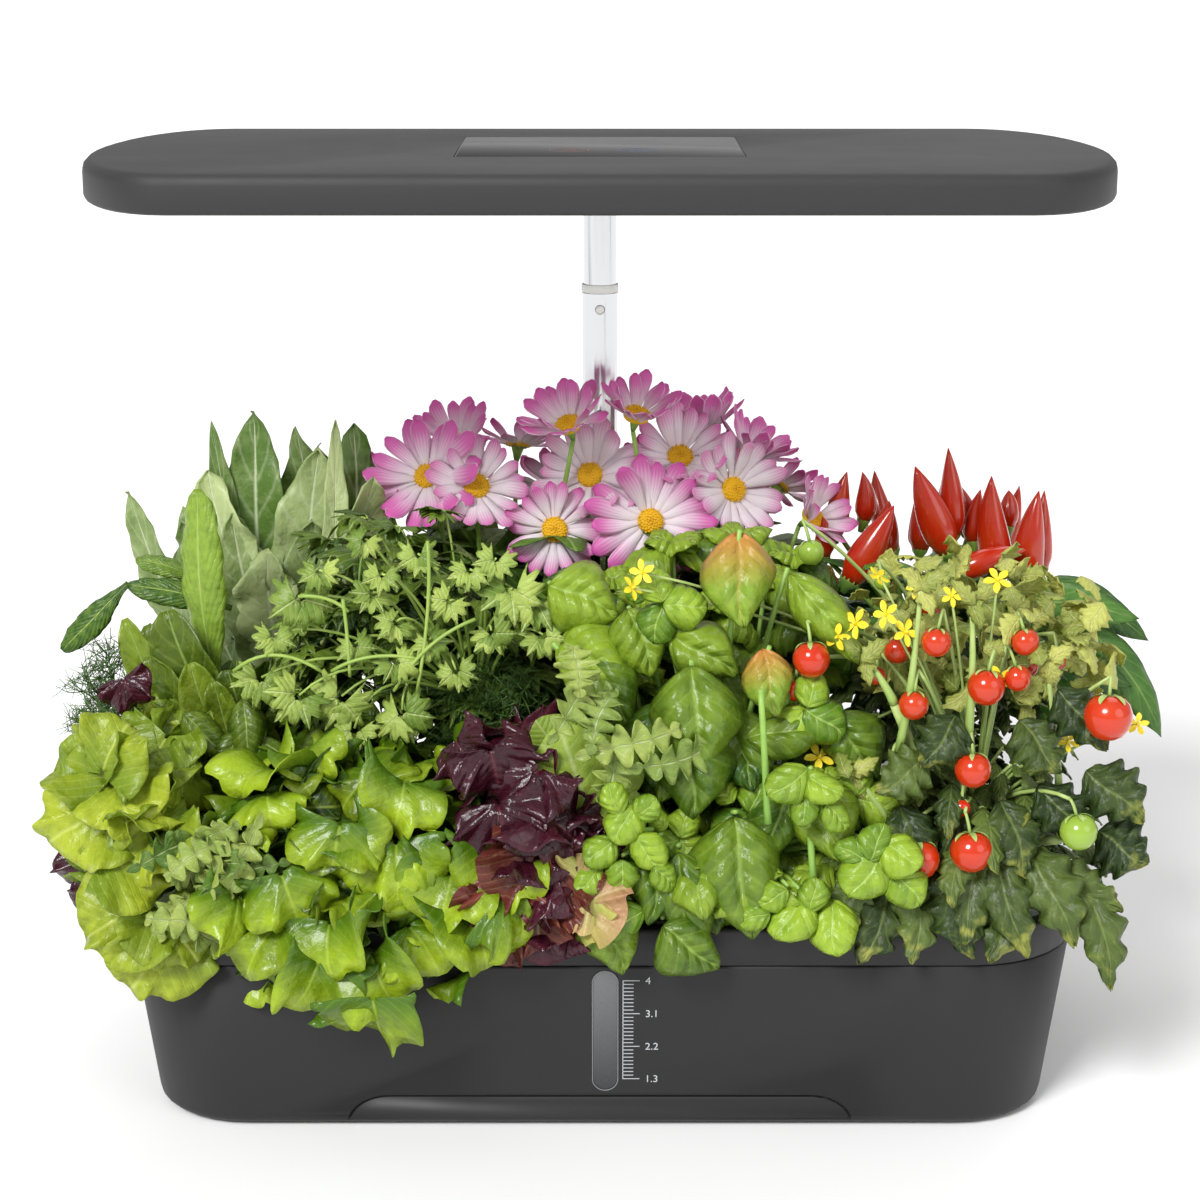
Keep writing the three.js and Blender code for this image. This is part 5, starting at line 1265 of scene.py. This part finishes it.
def cilantro_leaf(leaves, stems, rng, start, end, size):
    """One cilantro leaf: a thin stalk, side stalks at its upper nodes, and three lobed leaflets on each."""
    out = np.asarray(end, float) - np.asarray(start, float)
    path = bow(start, end, (0, 0, 0.22 * np.linalg.norm(out)), 8)
    stems.append(stem(path, 0.95, 0.45, 5))
    heading = math.atan2(out[1], out[0])
    for node, spans in ((8, (0, 1.1, -1.1)), (6, (1.0, -1.0))):
        for turn in spans:
            way = heading + turn + rng.uniform(-0.2, 0.2)
            reach = size * (0.5 if node == 6 else 0.2)
            twig = path[node] + np.array([math.cos(way), math.sin(way), 0.3]) * reach
            stems.append(stem(bow(path[node], twig, (0, 0, 1), 3), 0.45, 0.35, 4))
            lean, curl = rng.uniform(-0.2, 0.5), rng.uniform(0.6, 1.5)
            form = pick(cilantro_forms, rng)
            length, roll, tint_and_shade = size * rng.uniform(0.85, 1.2), rng.uniform(-0.5, 0.5), rng.uniform(0, 1)
            leaves.append(lay(form, twig, way, lean, curl, length, None, roll, tint_and_shade))


for foot, tip, _ in dome((-76, -8, 96), (62, 38, 128), 60, rng, low=0.12, keep=0.1):
    start = root + (rng.uniform(-7, 7), rng.uniform(-7, 7), 0)
    cilantro_leaf(leaves, stems, rng, start, tip, rng.uniform(11, 17))
spread = {"low": 0.0, "lift": 0.8, "slant": 1.4, "near": 0.8}
leaves += clump(
    cilantro_forms, (-76, -8, 128), (60, 40, 92), 200, rng, (8, 14), shade=(-0.3, 0.9), **spread
)
grow("cilantro_leaves", leaves, cilantro_green, "middle_2", "herb_leaf", ["plant_middle_cilantro"], sheet=0.3)
sprays = [
    (-116, 205, 14), (-88, 206, 9), (-79, 195, 9), (-70, 222, 9), (-42, 192, 10), (-117, 166, 13),
    (-132, 172, 12), (-79, 180, 10), (-77, 160, 13), (-95, 186, 9), (-34, 208, 14), (-25, 202, 12),
    (-101, 164, 14), (-66, 188, 9), (-50, 216, 9), (-22, 190, 10), (-126, 190, 9), (-84, 214, 8),
    (-58, 204, 9), (-40, 220, 9), (-108, 216, 9), (-96, 152, 10), (-56, 176, 9), (-90, 228, 8)
]
pale_leaves = []
for x, z, size in sprays:
    node = np.array([x, -60 - rng.uniform(0, 6), z])
    turned = rng.uniform(-0.8, 0.8)
    for spin in (-1.57, -0.5, -2.6):
        way = spin + turned
        middle = node + np.array([math.cos(way), -0.1, math.sin(way)]) * size * 0.62
        form = pick(cilantro_forms, rng)
        facing, tint_and_shade = to_camera(rng, 0.4, 0.3), rng.uniform(0, 1)
        pale_leaves.append(pose(form, middle, facing, way, size, None, 0.6, tint_and_shade))
    lift = (rng.uniform(-14, 14), -8, 26)
    stems.append(stem(bow(root + (x * 0.1, -30, 70), node + (0, 1, 0), lift, 10), 0.8, 0.5, 5))
grow("young_cilantro", pale_leaves, cilantro_pale, "middle_2", "herb_leaf", sheet=0.3)
arches = [
    ((-142, 176), (-127, 190), (-108, 176)), ((-104, 176), (-90, 186), (-70, 181)),
    ((-99, 205), (-97, 192), (-97, 174)), ((-66, 228), (-64, 204), (-71, 168)),
    ((-48, 197), (-68, 190), (-80, 168)), ((-116, 206), (-104, 208), (-97, 200))
]
for (x, z), (over_x, over_z), (far_x, far_z) in arches:
    start, end = np.array([x, -66, z]), np.array([far_x, -66, far_z])
    lift = (over_x - (x + far_x) / 2, -3, over_z - (z + far_z) / 2)
    stems.append(stem(bow(start, end, lift, 10), 0.8, 0.7, 6))
grow("cilantro_stalks", stems, herb_stalk, "middle_2", "herb_leaf")


def dill_frond(threads, rng, start, end):
    """One dill frond: a stalk with side threads that fork into hair-fine leaflets."""
    path = bow(start, end, (0, 0, 8), 12)
    threads.append(stem(path, 0.6, 0.25, 4))
    for node in range(4, 13):
        for _ in range(3):
            way = rng.normal(0, 1, 3) + (0, -0.3, 0.5)
            tip = path[node] + way / np.linalg.norm(way) * rng.uniform(8, 14)
            twig = bow(path[node], tip, wander(rng, 2), 3)
            threads.append(stem(twig, 0.28, 0.16, 3))
            for _ in range(4):
                hair = twig[2] + rng.normal(0, 3.2, 3)
                middle = (twig[2] + hair) / 2 + wander(rng, 0.5)
                threads.append(stem(np.array([twig[2], middle, hair]), 0.18, 0.12, 3))


dill_green = stalk_skin("dill", "#6f9440", "#33551f")
for name, pod, centre, radii, count in (
    ("dill_fronds", "middle_2", (-44, -34, 136), (24, 22, 40), 26),
    ("dill_side_fronds", "middle_1", (-196, -14, 132), (22, 26, 40), 16),
):
    threads = []
    for foot, tip, _ in dome(centre, radii, count, rng, low=-0.2, keep=0.15):
        threads.append(stem(bow(crown(pod), foot, (0, 0, 6), 6), 0.8, 0.6, 4))
        dill_frond(threads, rng, foot, tip)
    grow(name, threads, dill_green, pod, "herb_leaf")

# Tomatoes: two pods of a dwarf cherry tomato, with ripe fruit on trusses, toothed leaves and yellow flowers.
# The trusses hang at the right end, in front of the leaves.
tomato_forms = several(
    5, strap, 12, 4, egg, cup=-0.3, ruffle=0.05, ruffles=3, quilt=0.04, veins=6, lobes=4, notch=0.4
)
tomato_green = foliage(
    "tomato leaf", "#647834", "#263a14", "#8ea058", veins=6, gloss=0.45, glow=0.14, blotch=6, ribbed=0.25,
    puff=1.2, rim="#9da048"
)
tomato_pale = foliage(
    "young tomato leaf", "#c6ca6c", "#768c34", "#dcdc98", veins=5, gloss=0.42, glow=0.24, blotch=5, puff=0.6
)
tomato_stalk = stalk_skin("tomato stalk", "#c6d68a", "#90ac56")
lobed_forms = several(
    4, strap, 30, 12, egg, cup=-0.25, bulge=0.05, ruffle=0.08, ruffles=4, quilt=0.09, veins=7, lobes=4,
    notch=0.3
)


def tomato_leaf(leaves, stems, rng, start, end, size, pairs=3):
    """One tomato leaf: an arched stalk with pairs of toothed leaflets and one at its tip."""
    out = np.asarray(end, float) - np.asarray(start, float)
    path = bow(start, end, (0, 0, 0.2 * np.linalg.norm(out)), 10)
    stems.append(stem(path, 1.2, 0.6, 6))
    heading = math.atan2(out[1], out[0])
    form = pick(tomato_forms, rng)
    roll, tint_and_shade = rng.uniform(-0.3, 0.3), rng.uniform(0, 1)
    leaves.append(lay(form, path[-1], heading, -0.3, 0.9, size * 1.15, size * 0.66, roll, tint_and_shade))
    for pair in range(pairs):
        node = path[10 - 2 - round(pair * 6 / pairs)]
        for side in (-1, 1):
            way = heading + side * rng.uniform(1.0, 1.5)
            length = size * rng.uniform(0.7, 1.0) * (1 - 0.12 * pair)
            twig = node + np.array([math.cos(way), math.sin(way), 0.1]) * 3
            stems.append(stem(np.array([node, (node + twig) / 2, twig]), 0.6, 0.5, 4))
            lean, curl = rng.uniform(-0.5, 0.3), rng.uniform(0.5, 1.4)
            form = pick(tomato_forms, rng)
            roll, tint_and_shade = rng.uniform(-0.5, 0.5), rng.uniform(0, 1)
            leaves.append(lay(form, twig, way, lean, curl, length, length * 0.58, roll, tint_and_shade))


def ripe_skin(name, ripe, green, gloss):
    """Glossy fruit skin, coated in its own wax, with a blush of green where a fruit is young."""
    material, tree = blank(name)
    place = add(tree, "ShaderNodeTexCoord").outputs["Object"]
    young = add(tree, "ShaderNodeAttribute", attribute_name="tint_and_shade").outputs["Fac"]
    cells = add(tree, "ShaderNodeTexNoise", {"Vector": place, "Scale": 1 / (9 * MM), "Detail": 2.0})
    share = add(
        tree, "ShaderNodeMath", {0: cells.outputs["Fac"], 1: 0.12, 2: young}, operation="MULTIPLY_ADD"
    )
    colour = add(tree, "ShaderNodeMixRGB", {0: share.outputs[0], 1: paint(ripe), 2: paint(green)})
    dull = add(tree, "ShaderNodeMapRange", {0: cells.outputs["Fac"], 3: gloss, 4: gloss + 0.1})
    sockets = {"Base Color": colour.outputs[0], "Roughness": dull.outputs[0], "IOR": 1.45}
    surface(tree, sockets | {"Coat Weight": 0.5, "Coat Roughness": 0.08})
    return material


tomato_skin = ripe_skin("tomato skin", "#c81604", "#8fae3c", 0.14)
ball_shares = [
    (0.0, -0.93), (0.3, -0.92), (0.62, -0.76), (0.87, -0.44), (0.99, -0.06), (0.98, 0.24), (0.84, 0.58),
    (0.6, 0.8), (0.36, 0.88), (0.16, 0.85), (0.0, 0.8)
]
sepal = strap(6, 2, lance, cup=0.3, seed=3)


def truss_fruit(fruits, caps, rng, place, radius, hook, young=0.0):
    """One tomato with its star of sepals and a short stalk from its hook."""
    place, hook = np.asarray(place, float), np.asarray(hook, float)
    way = hook - place
    way = way / np.linalg.norm(way) + (0, 0, 0.8)
    way = way / np.linalg.norm(way)
    points, faces, uv, tint_and_shade = spun(ball_shares, 24, young)
    fruits.append(moved((points * radius, faces, uv, tint_and_shade), place, way, rng.uniform(0, 6)))
    top = place + way * radius * 0.82
    caps.append(stem(bow(top, hook, (0, 0, 2), 5), 0.75, 0.65, 5))
    for index in range(5):
        one = lay(sepal, (0, 0, 0), index * turn_full / 5, 0.35, 1.3, radius * 0.95, radius * 0.28, 0.0, 0.6)
        caps.append(moved(one, top + way * 0.3, way, rng.uniform(-0.1, 0.1)))


petal_star = strap(6, 4, lance, cup=0.2, seed=5)
tomato_yellow = moulded("yellow tomato petals", "#f6dc2c", roughness=0.55, grain=0.8, depth=0.05)


def star_flower(petals, rng, place, facing, size):
    """One yellow tomato flower: five swept-back petals round a cone of stamens."""
    start = rng.uniform(0, 1)
    for index in range(5):
        one = lay(petal_star, (0, 0, 0), start + index * turn_full / 5, 0.3, 0.5, size, size * 0.5)
        petals.append(moved(one, place, facing))
    cone = spun([(0, 0), (size * 0.14, 0.4), (size * 0.1, size * 0.3), (0, size * 0.45)], 8)
    petals.append(moved(cone, place, facing))


front_fruit = [
    ((189, -110, 171), 9.2),
    ((140, -106, 149), 7.0),
    ((140, -110, 118), 8.2),
    ((121, -108, 114), 7.6),
    ((145, -98, 179), 7.2),
    ((137, -100, 132), 3.6),
    ((126, -96, 196), 5.8),
    ((118, -98, 172), 5.8),
    ((160, -92, 195), 5.4),
    ((113, -82, 189), 5.4),
    ((157, -96, 182), 5.2),
    ((105, -86, 180), 3.6),
]
back_fruit = [
    ((80, -88, 187), 7.2), ((164, -72, 180), 5.0), ((176, -72, 182), 3.8), ((74, -84, 174), 4.6),
    ((128, -60, 200), 4.4)
]
front_greens = [((179, -116, 128), 7.2), ((109, -100, 146), 3.0)]
back_greens = [((83, -40, 217), 5.2), ((110, -52, 208), 3.2)]
front_stars = [(107, 207), (114, 200), (104, 222), (131, 214), (150, 182), (203, 164), (177, 157), (148, 220)]
back_stars = [(84, 147), (90, 195), (16, 220), (120, 214), (12, 214), (97, 200)]
# Stout stems show between the fruit. Each has its two ends, and the big leaves below have a foot and a tip.
front_trunks = [
    ((113, 152), (120, 217)), ((139, 156), (139, 212)), ((176, 118), (168, 188)), ((109, 126), (96, 144)),
    ((111, 172), (99, 190))
]
low_leaves = [
    ((112, 104), (98, 76)), ((122, 108), (118, 76)), ((132, 112), (140, 78)), ((146, 118), (136, 84)),
    ((150, 116), (160, 78)), ((164, 116), (180, 84)), ((172, 108), (198, 92)), ((184, 106), (194, 66)),
    ((190, 122), (207, 112)), ((158, 104), (148, 76)), ((114, 132), (122, 106)), ((152, 134), (162, 108)),
    ((184, 146), (205, 130)), ((166, 140), (186, 120)), ((124, 152), (104, 140)), ((134, 168), (122, 150)),
    ((158, 166), (172, 148)), ((172, 178), (190, 158)), ((128, 122), (106, 118)), ((100, 110), (88, 86))
]
for name, pod, seed, seat, fruit_list, greens, stars in (
    ("front_tomato", "front_4", 51, (146, -74, 118), front_fruit, front_greens, front_stars),
    ("back_tomato", "middle_4", 52, (146, -14, 150), back_fruit, back_greens, back_stars),
):
    rng = np.random.default_rng(seed)
    root = crown(pod)
    leaves, stems, fruits, caps, petals, pale = [], [], [], [], [], []
    trunk = bow(root, seat, (4, 0, 4), 8)
    stems.append(stem(trunk, 2.6, 1.9, 9))
    front = name == "front_tomato"
    node = "plant_front_tomato" if front else "plant_middle_tomato"
    radii = (56, 38, 60) if front else (60, 42, 62)
    heart = np.array(seat) + ((-2, 0, 0) if front else (0, 0, 8))
    for foot, tip, _ in dome(heart, radii, 36, rng, low=-0.72 if front else -0.35, keep=0.12):
        tip[1] = max(tip[1], -122)
        start = trunk[rng.integers(3, 9)]
        tomato_leaf(leaves, stems, rng, start, start * 0.3 + tip * 0.7, rng.uniform(17, 26))
    for place, radius in fruit_list + greens:
        hook = np.array(place) + (rng.uniform(-4, 4), 5, radius + rng.uniform(4, 7))
        truss_fruit(fruits, caps, rng, place, radius, hook, young=float((place, radius) in greens))
        caps.append(stem(bow(trunk[-1], hook, (0, 0, 14), 8), 1.0, 0.75, 6))
    for x, z in stars:
        place = (x, -96 if front else -84, z)
        facing = (rng.uniform(-1.2, 1.2), -1, rng.uniform(-0.8, 1.0))
        star_flower(petals, rng, place, facing, rng.uniform(4.4, 6.2))
        caps.append(stem(bow(trunk[-1], place, (0, 0, 12), 8), 0.8, 0.5, 5))
    if front:
        for (x, z), (top_x, top_z) in front_trunks:
            stems.append(stem(bow(trunk[3], (x, -96, z), (0, -6, 4), 8), 2.2, 1.9, 10))
            stems.append(stem(bow((x, -96, z), (top_x, -92, top_z), (2, -3, 0), 8), 1.9, 0.8, 10))
            for spin in (0.6, 2.4, -1.2):
                middle = np.array([top_x + 5 * math.cos(spin), -95, top_z + 5 * math.sin(spin)])
                form, facing = pick(tomato_forms, rng), to_camera(rng)
                pale.append(pose(form, middle, facing, spin, 14, 9, 0.8, rng.uniform(0, 1)))
        for (x, z), (tip_x, tip_z) in low_leaves:
            facing = to_camera(rng, 0.4, 0.25)
            foot, tip = (x, -98, z), (tip_x, -118 if tip_z < 90 else -108, tip_z)
            width = rng.uniform(22, 30)
            form, curl, tint_and_shade = pick(lobed_forms, rng), rng.uniform(0.3, 1.0), rng.uniform(-0.2, 0.7)
            leaves.append(span(form, foot, tip, facing, width, curl, tint_and_shade))
    middle, radii = (150, -68 if front else -30, 184), (54, 28, 36)
    spread = {"low": -0.7, "lift": 0.6, "slant": 1.6, "near": 0.6, "stray": 0.7}
    pale += clump(tomato_forms, middle, radii, 84, rng, (9, 16), shade=(0, 1.2), **spread)
    grow(name + "_leaves", leaves, tomato_green, pod, "tomato_leaf", [node], sheet=0.4)
    grow(name + "_young_leaves", pale, tomato_pale, pod, "tomato_leaf", sheet=0.35)
    grow(name + "_stems", stems + caps, tomato_stalk, pod, "tomato_leaf")
    grow(name + "_fruit", fruits, tomato_skin, pod, "chili_fruit")
    grow(name + "_flowers", petals, tomato_yellow, pod, "petal")

# Chrysanthemums: two pods of bushy stems with lobed leaves, under a crowd of daisy flowers.
# The petals are magenta with pale edges; the disc is a dome of yellow florets.
def mum_lobes(angle):
    """Outline of a chrysanthemum leaf: a fan with blunt lobes."""
    return 0.62 + 0.3 * np.cos(0.8 * angle) + 0.16 * np.cos(6.6 * angle)


mum_leaf_forms = several(4, fan, 4, 26, 1.4, mum_lobes, cup=-0.2, ruffle=0.04, ruffles=4)
mum_green = foliage(
    "chrysanthemum leaf", "#6b8f34", "#24440f", "#93ad58", veins=6, gloss=0.45, glow=0.14, blotch=6
)
disc_yellow = moulded("yellow disc florets", "#f3bf16", roughness=0.7, grain=0.9, depth=0.6)


def tongue(v):
    """Outline of a petal: a long tongue with a blunt, round end."""
    end = np.clip(1 - np.clip((v - 0.76) / 0.245, 0, 1) ** 2.2, 0.01, 1)
    return (0.3 + 0.7 * ease(v, 0.0, 0.7)) * np.sqrt(end)


petal_forms = several(4, strap, 10, 6, tongue, cup=-0.35, ruffle=0.05, ruffles=1, quilt=0.03, veins=1)
material, tree = blank("magenta petals")
spot = add(tree, "ShaderNodeSeparateXYZ", {0: add(tree, "ShaderNodeUVMap", uv_map="leaf").outputs[0]})
tint_and_shade = add(tree, "ShaderNodeAttribute", attribute_name="tint_and_shade").outputs["Fac"]
off = add(tree, "ShaderNodeMath", {0: spot.outputs["X"], 1: 0.5}, operation="SUBTRACT")
across = add(tree, "ShaderNodeMath", {0: off.outputs[0]}, operation="ABSOLUTE").outputs[0]
reach = add(tree, "ShaderNodeMath", {0: tint_and_shade, 1: -0.42, 2: spot.outputs["Y"]}, operation="MULTIPLY_ADD")
streak = add(tree, "ShaderNodeMath", {0: across, 1: 0.085}, operation="PINGPONG")
reach = add(
    tree, "ShaderNodeMath", {0: streak.outputs[0], 1: 2.2, 2: reach.outputs[0]}, operation="MULTIPLY_ADD"
)
white_foot = add(tree, "ShaderNodeMapRange", {0: reach.outputs[0], 1: 0.3, 2: 0.8, 3: 1.0, 4: 0.0})
white_edge = add(tree, "ShaderNodeMapRange", {0: across, 1: 0.4, 2: 0.5, 4: 0.75})
white = add(tree, "ShaderNodeMath", {0: white_foot.outputs[0], 1: white_edge.outputs[0]}, operation="MAXIMUM")
deep = add(tree, "ShaderNodeMixRGB", {0: spot.outputs["Y"], 1: paint("#f6bfe8"), 2: paint("#e45cba")})
colour = add(tree, "ShaderNodeMixRGB", {0: white.outputs[0], 1: deep.outputs[0], 2: paint("#fdf2f9")})
skin = add(tree, "ShaderNodeBsdfPrincipled", {"Base Color": colour.outputs[0], "Roughness": 0.5})
through = add(tree, "ShaderNodeBsdfTranslucent", {"Color": colour.outputs[0]})
both = add(tree, "ShaderNodeMixShader", {0: 0.25, 1: skin.outputs[0], 2: through.outputs[0]})
add(tree, "ShaderNodeOutputMaterial", {"Surface": both.outputs[0]})
petal_magenta = material


daisy_petals, daisy_florets, daisy_core = 17, 70, 5.4


def daisy(petals, discs, rng, place, facing, size, sweep, pale):
    """One chrysanthemum: petals in two rings round a bumpy disc. pale gives how far the white reaches."""
    start, count, core = rng.uniform(0, 1), daisy_petals, daisy_core
    for index in range(count):
        heading = start + (index + rng.uniform(-0.2, 0.2)) * turn_full / count
        foot = np.array([math.cos(heading), math.sin(heading), 0]) * core * 0.6
        lean = sweep + 0.2 * (index % 2) + rng.uniform(-0.15, 0.15)
        length = (size / 2 - core * 0.6) * rng.uniform(0.86, 1.06)
        width, curl = length * rng.uniform(0.3, 0.38), rng.uniform(-0.1, 0.5)
        foot = foot - (0, 0, 0.5 * (index % 2))
        roll = rng.uniform(-0.3, 0.3)
        one = lay(petal_forms[index % 4], foot, heading, lean, curl, length, width, roll, pale)
        petals.append(moved(one, place, facing))
    dome_rows = [
        (0, -0.5), (core, -0.2), (core * 0.98, core * 0.25), (core * 0.8, core * 0.5),
        (core * 0.45, core * 0.6), (0, core * 0.56)
    ]
    discs.append(moved(spun(dome_rows, 24), place, facing))
    for index in range(daisy_florets):
        ring = core * math.sqrt((index + 0.5) / daisy_florets)
        angle = index * golden_angle
        lift = core * (0.3 + 0.3 * math.cos(ring / core * 1.4))
        floret = spun([(0, -0.3), (0.5, 0.1), (0.42, 0.65), (0, 0.95)], 5)
        seat = moved(floret, (ring * math.cos(angle), ring * math.sin(angle), lift))
        discs.append(moved(seat, place, facing))


# Each flower has its place, the way that it faces, its width, how far its petals rise, and how pale it is.
mum_flowers = {
    "back_2": [
        ((-73, 46, 229), (-0.35, -1, 0.75), 56, 0.3, 0.1),
        ((-52, 40, 226), (0.15, -1, 0.7), 46, 0.35, 0.75),
        ((-19, 30, 210), (-0.05, -1, 0.25), 43, 0.1, 0.5),
        ((-4, 44, 230), (-0.25, -1, 0.6), 50, 0.35, 0.9),
        ((-62, 72, 238), (-0.2, -0.4, 1), 46, 0.7, 0.3),
        ((-13, 34, 253), (-0.3, -0.5, 1), 46, 0.7, 0.1),
        ((-36, 88, 234), (0.1, 0.3, 1), 42, 0.5, 0.3),
        ((-96, 58, 216), (-0.9, -0.8, 0.5), 44, 0.3, 0.4),
        ((-62, 100, 220), (-0.2, 0.9, 0.6), 44, 0.3, 0.4),
        ((-20, 102, 212), (0.2, 0.9, 0.6), 44, 0.3, 0.6),
    ],
    "back_3": [
        ((21, 28, 214), (0.1, -1, 0.3), 56, 0.12, 0.25),
        ((34, 52, 236), (0.05, -1, 0.9), 48, 0.6, 0.7),
        ((56, 44, 224), (0.55, -1, 0.35), 50, 0.3, 0.9),
        ((15, 35, 257), (0.2, -0.4, 1), 44, 0.8, 0.0),
        ((44, 72, 242), (-0.1, 0.1, 1), 50, 0.9, 0.1),
        ((64, 66, 234), (0.6, -0.1, 1), 48, 0.8, 0.15),
        ((90, 50, 210), (0.9, -0.7, 0.7), 42, 0.8, 0.6),
        ((78, 88, 216), (0.6, 0.6, 0.8), 42, 0.4, 0.3),
        ((56, 104, 214), (0.3, 0.9, 0.6), 44, 0.3, 0.5),
        ((20, 104, 216), (-0.2, 0.9, 0.6), 44, 0.3, 0.3),
    ],
}
for number, pod, heart in (("1", "back_2", (-50, 62, 140)), ("2", "back_3", (48, 62, 140))):
    rng = np.random.default_rng(60 + int(number))
    root = crown(pod)
    leaves, stems, petals, discs = [], [], [], []
    for place, facing, size, sweep, pale in mum_flowers[pod]:
        place = np.array(place, float)
        way = Vector(facing).normalized()
        neck = place - np.array(way) * 7
        path = bow(root + wander(rng, 5) * (1, 1, 0), neck, (0, 6, -8), 12)
        stems.append(stem(path, 1.5, 1.0, 7))
        stems.append(stem(np.array([neck, (neck + place) / 2, place - np.array(way) * 0.4]), 1.0, 3.0, 9))
        daisy(petals, discs, rng, place, facing, size, sweep, pale)
        for node in (3, 5, 7, 8, 9, 10):
            if path[node][1] < 42 and path[node][2] > 180:
                continue
            for _ in range(2):
                heading, lean = rng.uniform(0, turn_full), rng.uniform(0.0, 0.8)
                form = pick(mum_leaf_forms, rng)
                length = rng.uniform(24, 34) * (1.1 - 0.03 * node)
                curl, roll, tint_and_shade = rng.uniform(0.8, 1.6), rng.uniform(-0.4, 0.4), rng.uniform(0, 1)
                leaves.append(lay(form, path[node], heading, lean, curl, length, None, roll, tint_and_shade))
    for foot, tip, _ in dome(heart, (42, 40, 76), 44, rng, low=-0.3, keep=0.25):
        form = pick(mum_leaf_forms, rng)
        curl, width = rng.uniform(0.6, 1.5), rng.uniform(28, 38)
        roll, tint_and_shade = rng.uniform(-0.4, 0.4), rng.uniform(0, 1)
        leaves.append(between(form, foot, tip, curl, width, roll, tint_and_shade))
    node = f"plant_back_chrysanthemum_{number}"
    grow(f"chrysanthemum_{number}_leaves", leaves, mum_green, pod, "dark_leaf", [node], sheet=0.4)
    grow(f"chrysanthemum_{number}_stems", stems, green_stalk, pod, "dark_leaf")
    grow(f"chrysanthemum_{number}_petals", petals, petal_magenta, pod, "petal", sheet=0.25)
    grow(f"chrysanthemum_{number}_discs", discs, disc_yellow, pod, "petal")

# Chili: a bush of long, smooth, drooping leaves with red, upright fruit standing over them.
# It fills the last pod at the back, and its longest leaves hang out at the right end.
chili_forms = several(4, strap, 14, 6, egg, cup=-0.35, ruffle=0.04, ruffles=2, quilt=0.02, veins=7)
chili_green = foliage(
    "chili leaf", "#5c8c36", "#204716", "#8aab5c", veins=7, slant=0.3, gloss=0.32, glow=0.14, blotch=9
)
chili_skin = ripe_skin("chili skin", "#c00c06", "#7fa032", 0.15)
rng = np.random.default_rng(71)
pod = "back_4"
root = crown(pod)
leaves, stems, fruits = [], [], []
trunk = bow(root, (142, 60, 150), (4, 0, 0), 8)
stems.append(stem(trunk, 2.8, 2.2, 9))
# Each pepper has its foot, its tip and its greatest radius in mm.
peppers = [
    ((148, 44, 197), (133, 44, 234), 7.6),
    ((151, 54, 202), (148, 54, 240), 5.8),
    ((160, 66, 200), (152, 66, 224), 6.0),
    ((171, 48, 186), (166, 48, 229), 7.2),
    ((152, 34, 190), (180, 36, 200), 5.6),
    ((182, 46, 180), (186, 46, 223), 7.0),
    ((190, 56, 186), (190, 56, 221), 5.0),
    ((102, 62, 202), (106, 62, 228), 5.2),
    ((114, 66, 206), (113, 66, 227), 4.8),
    ((106, 40, 185), (124, 40, 218), 7.4),
    ((122, 56, 192), (124, 58, 216), 6.2),
    ((96, 50, 194), (95, 50, 211), 4.4),
    ((177, 68, 202), (177, 70, 218), 4.4),
    ((161, 58, 198), (163, 58, 221), 5.0),
    ((112, 52, 188), (117, 54, 206), 5.0),
    ((140, 76, 190), (138, 80, 214), 5.6),
    ((130, 92, 186), (122, 102, 220), 5.4),
    ((152, 100, 182), (154, 112, 216), 5.6),
    ((176, 88, 182), (186, 98, 214), 5.4),
]
for foot, tip, girth in peppers:
    path = bow(foot, tip, wander(rng, 3), 12)
    share = np.linspace(0, 1, 13)
    shoulder = 0.62 + 0.38 * ease(share, 0, 0.22)
    taper = np.clip(1 - np.clip((share - 0.25) / 0.76, 0, 1) ** 1.9, 0.03, 1)
    fruits.append(stem(path, girth * shoulder * taper, None, 18, 0.0))
    stems.append(stem(bow(trunk[-1], foot, (0, 0, -4), 6), 1.4, 1.2, 6))
    way = path[1] - path[0]
    way /= np.linalg.norm(way)
    cap = [
        (0, -6), (1.3, -5.6), (1.7, -3), (girth * 0.62, -0.6), (girth * 0.66, 1.2), (girth * 0.5, 2),
        (0, 1.6)
    ]
    stems.append(moved(spun(cap, 12), path[0], way))
for foot, tip, share in dome((148, 58, 148), (62, 52, 56), 76, rng, low=-0.45, keep=0.3):
    form = pick(chili_forms, rng)
    length = rng.uniform(38, 54)
    heading = math.atan2(tip[1] - foot[1], tip[0] - foot[0])
    start = foot * 0.5 + tip * 0.5
    stems.append(stem(bow(trunk[-1], start, (0, 0, 6), 5), 1.1, 0.7, 5))
    lean = rng.uniform(0.1, 0.8) * (0.4 + share)
    curl, roll, tint_and_shade = rng.uniform(0.9, 1.7), rng.uniform(-0.4, 0.4), rng.uniform(0, 1)
    leaves.append(lay(form, start, heading, lean, curl, length, length * 0.36, roll, tint_and_shade))
# Long leaves droop at the right end. Each has its foot, its tip and its width.
for foot, tip, width in (
    ((170, 6, 186), (222, 2, 180), 18),
    ((200, 8, 176), (236, 4, 128), 19),
    ((176, 0, 166), (220, -2, 152), 17),
    ((186, 16, 192), (230, 18, 166), 17),
    ((182, 40, 176), (214, 36, 150), 18),
):
    leaves.append(span(chili_forms[0], foot, tip, (0.2, -1, 0.5), width, 0.7, rng.uniform(0.2, 0.9)))
    stems.append(stem(bow(trunk[-2], foot, (0, 0, 6), 6), 1.2, 0.8, 5))
grow("chili_leaves", leaves, chili_green, pod, "dark_leaf", ["plant_back_chili"], sheet=0.4)
grow("chili_stems", stems, green_stalk, pod, "dark_leaf")
grow("chili_fruit", fruits, chili_skin, pod, "chili_fruit")
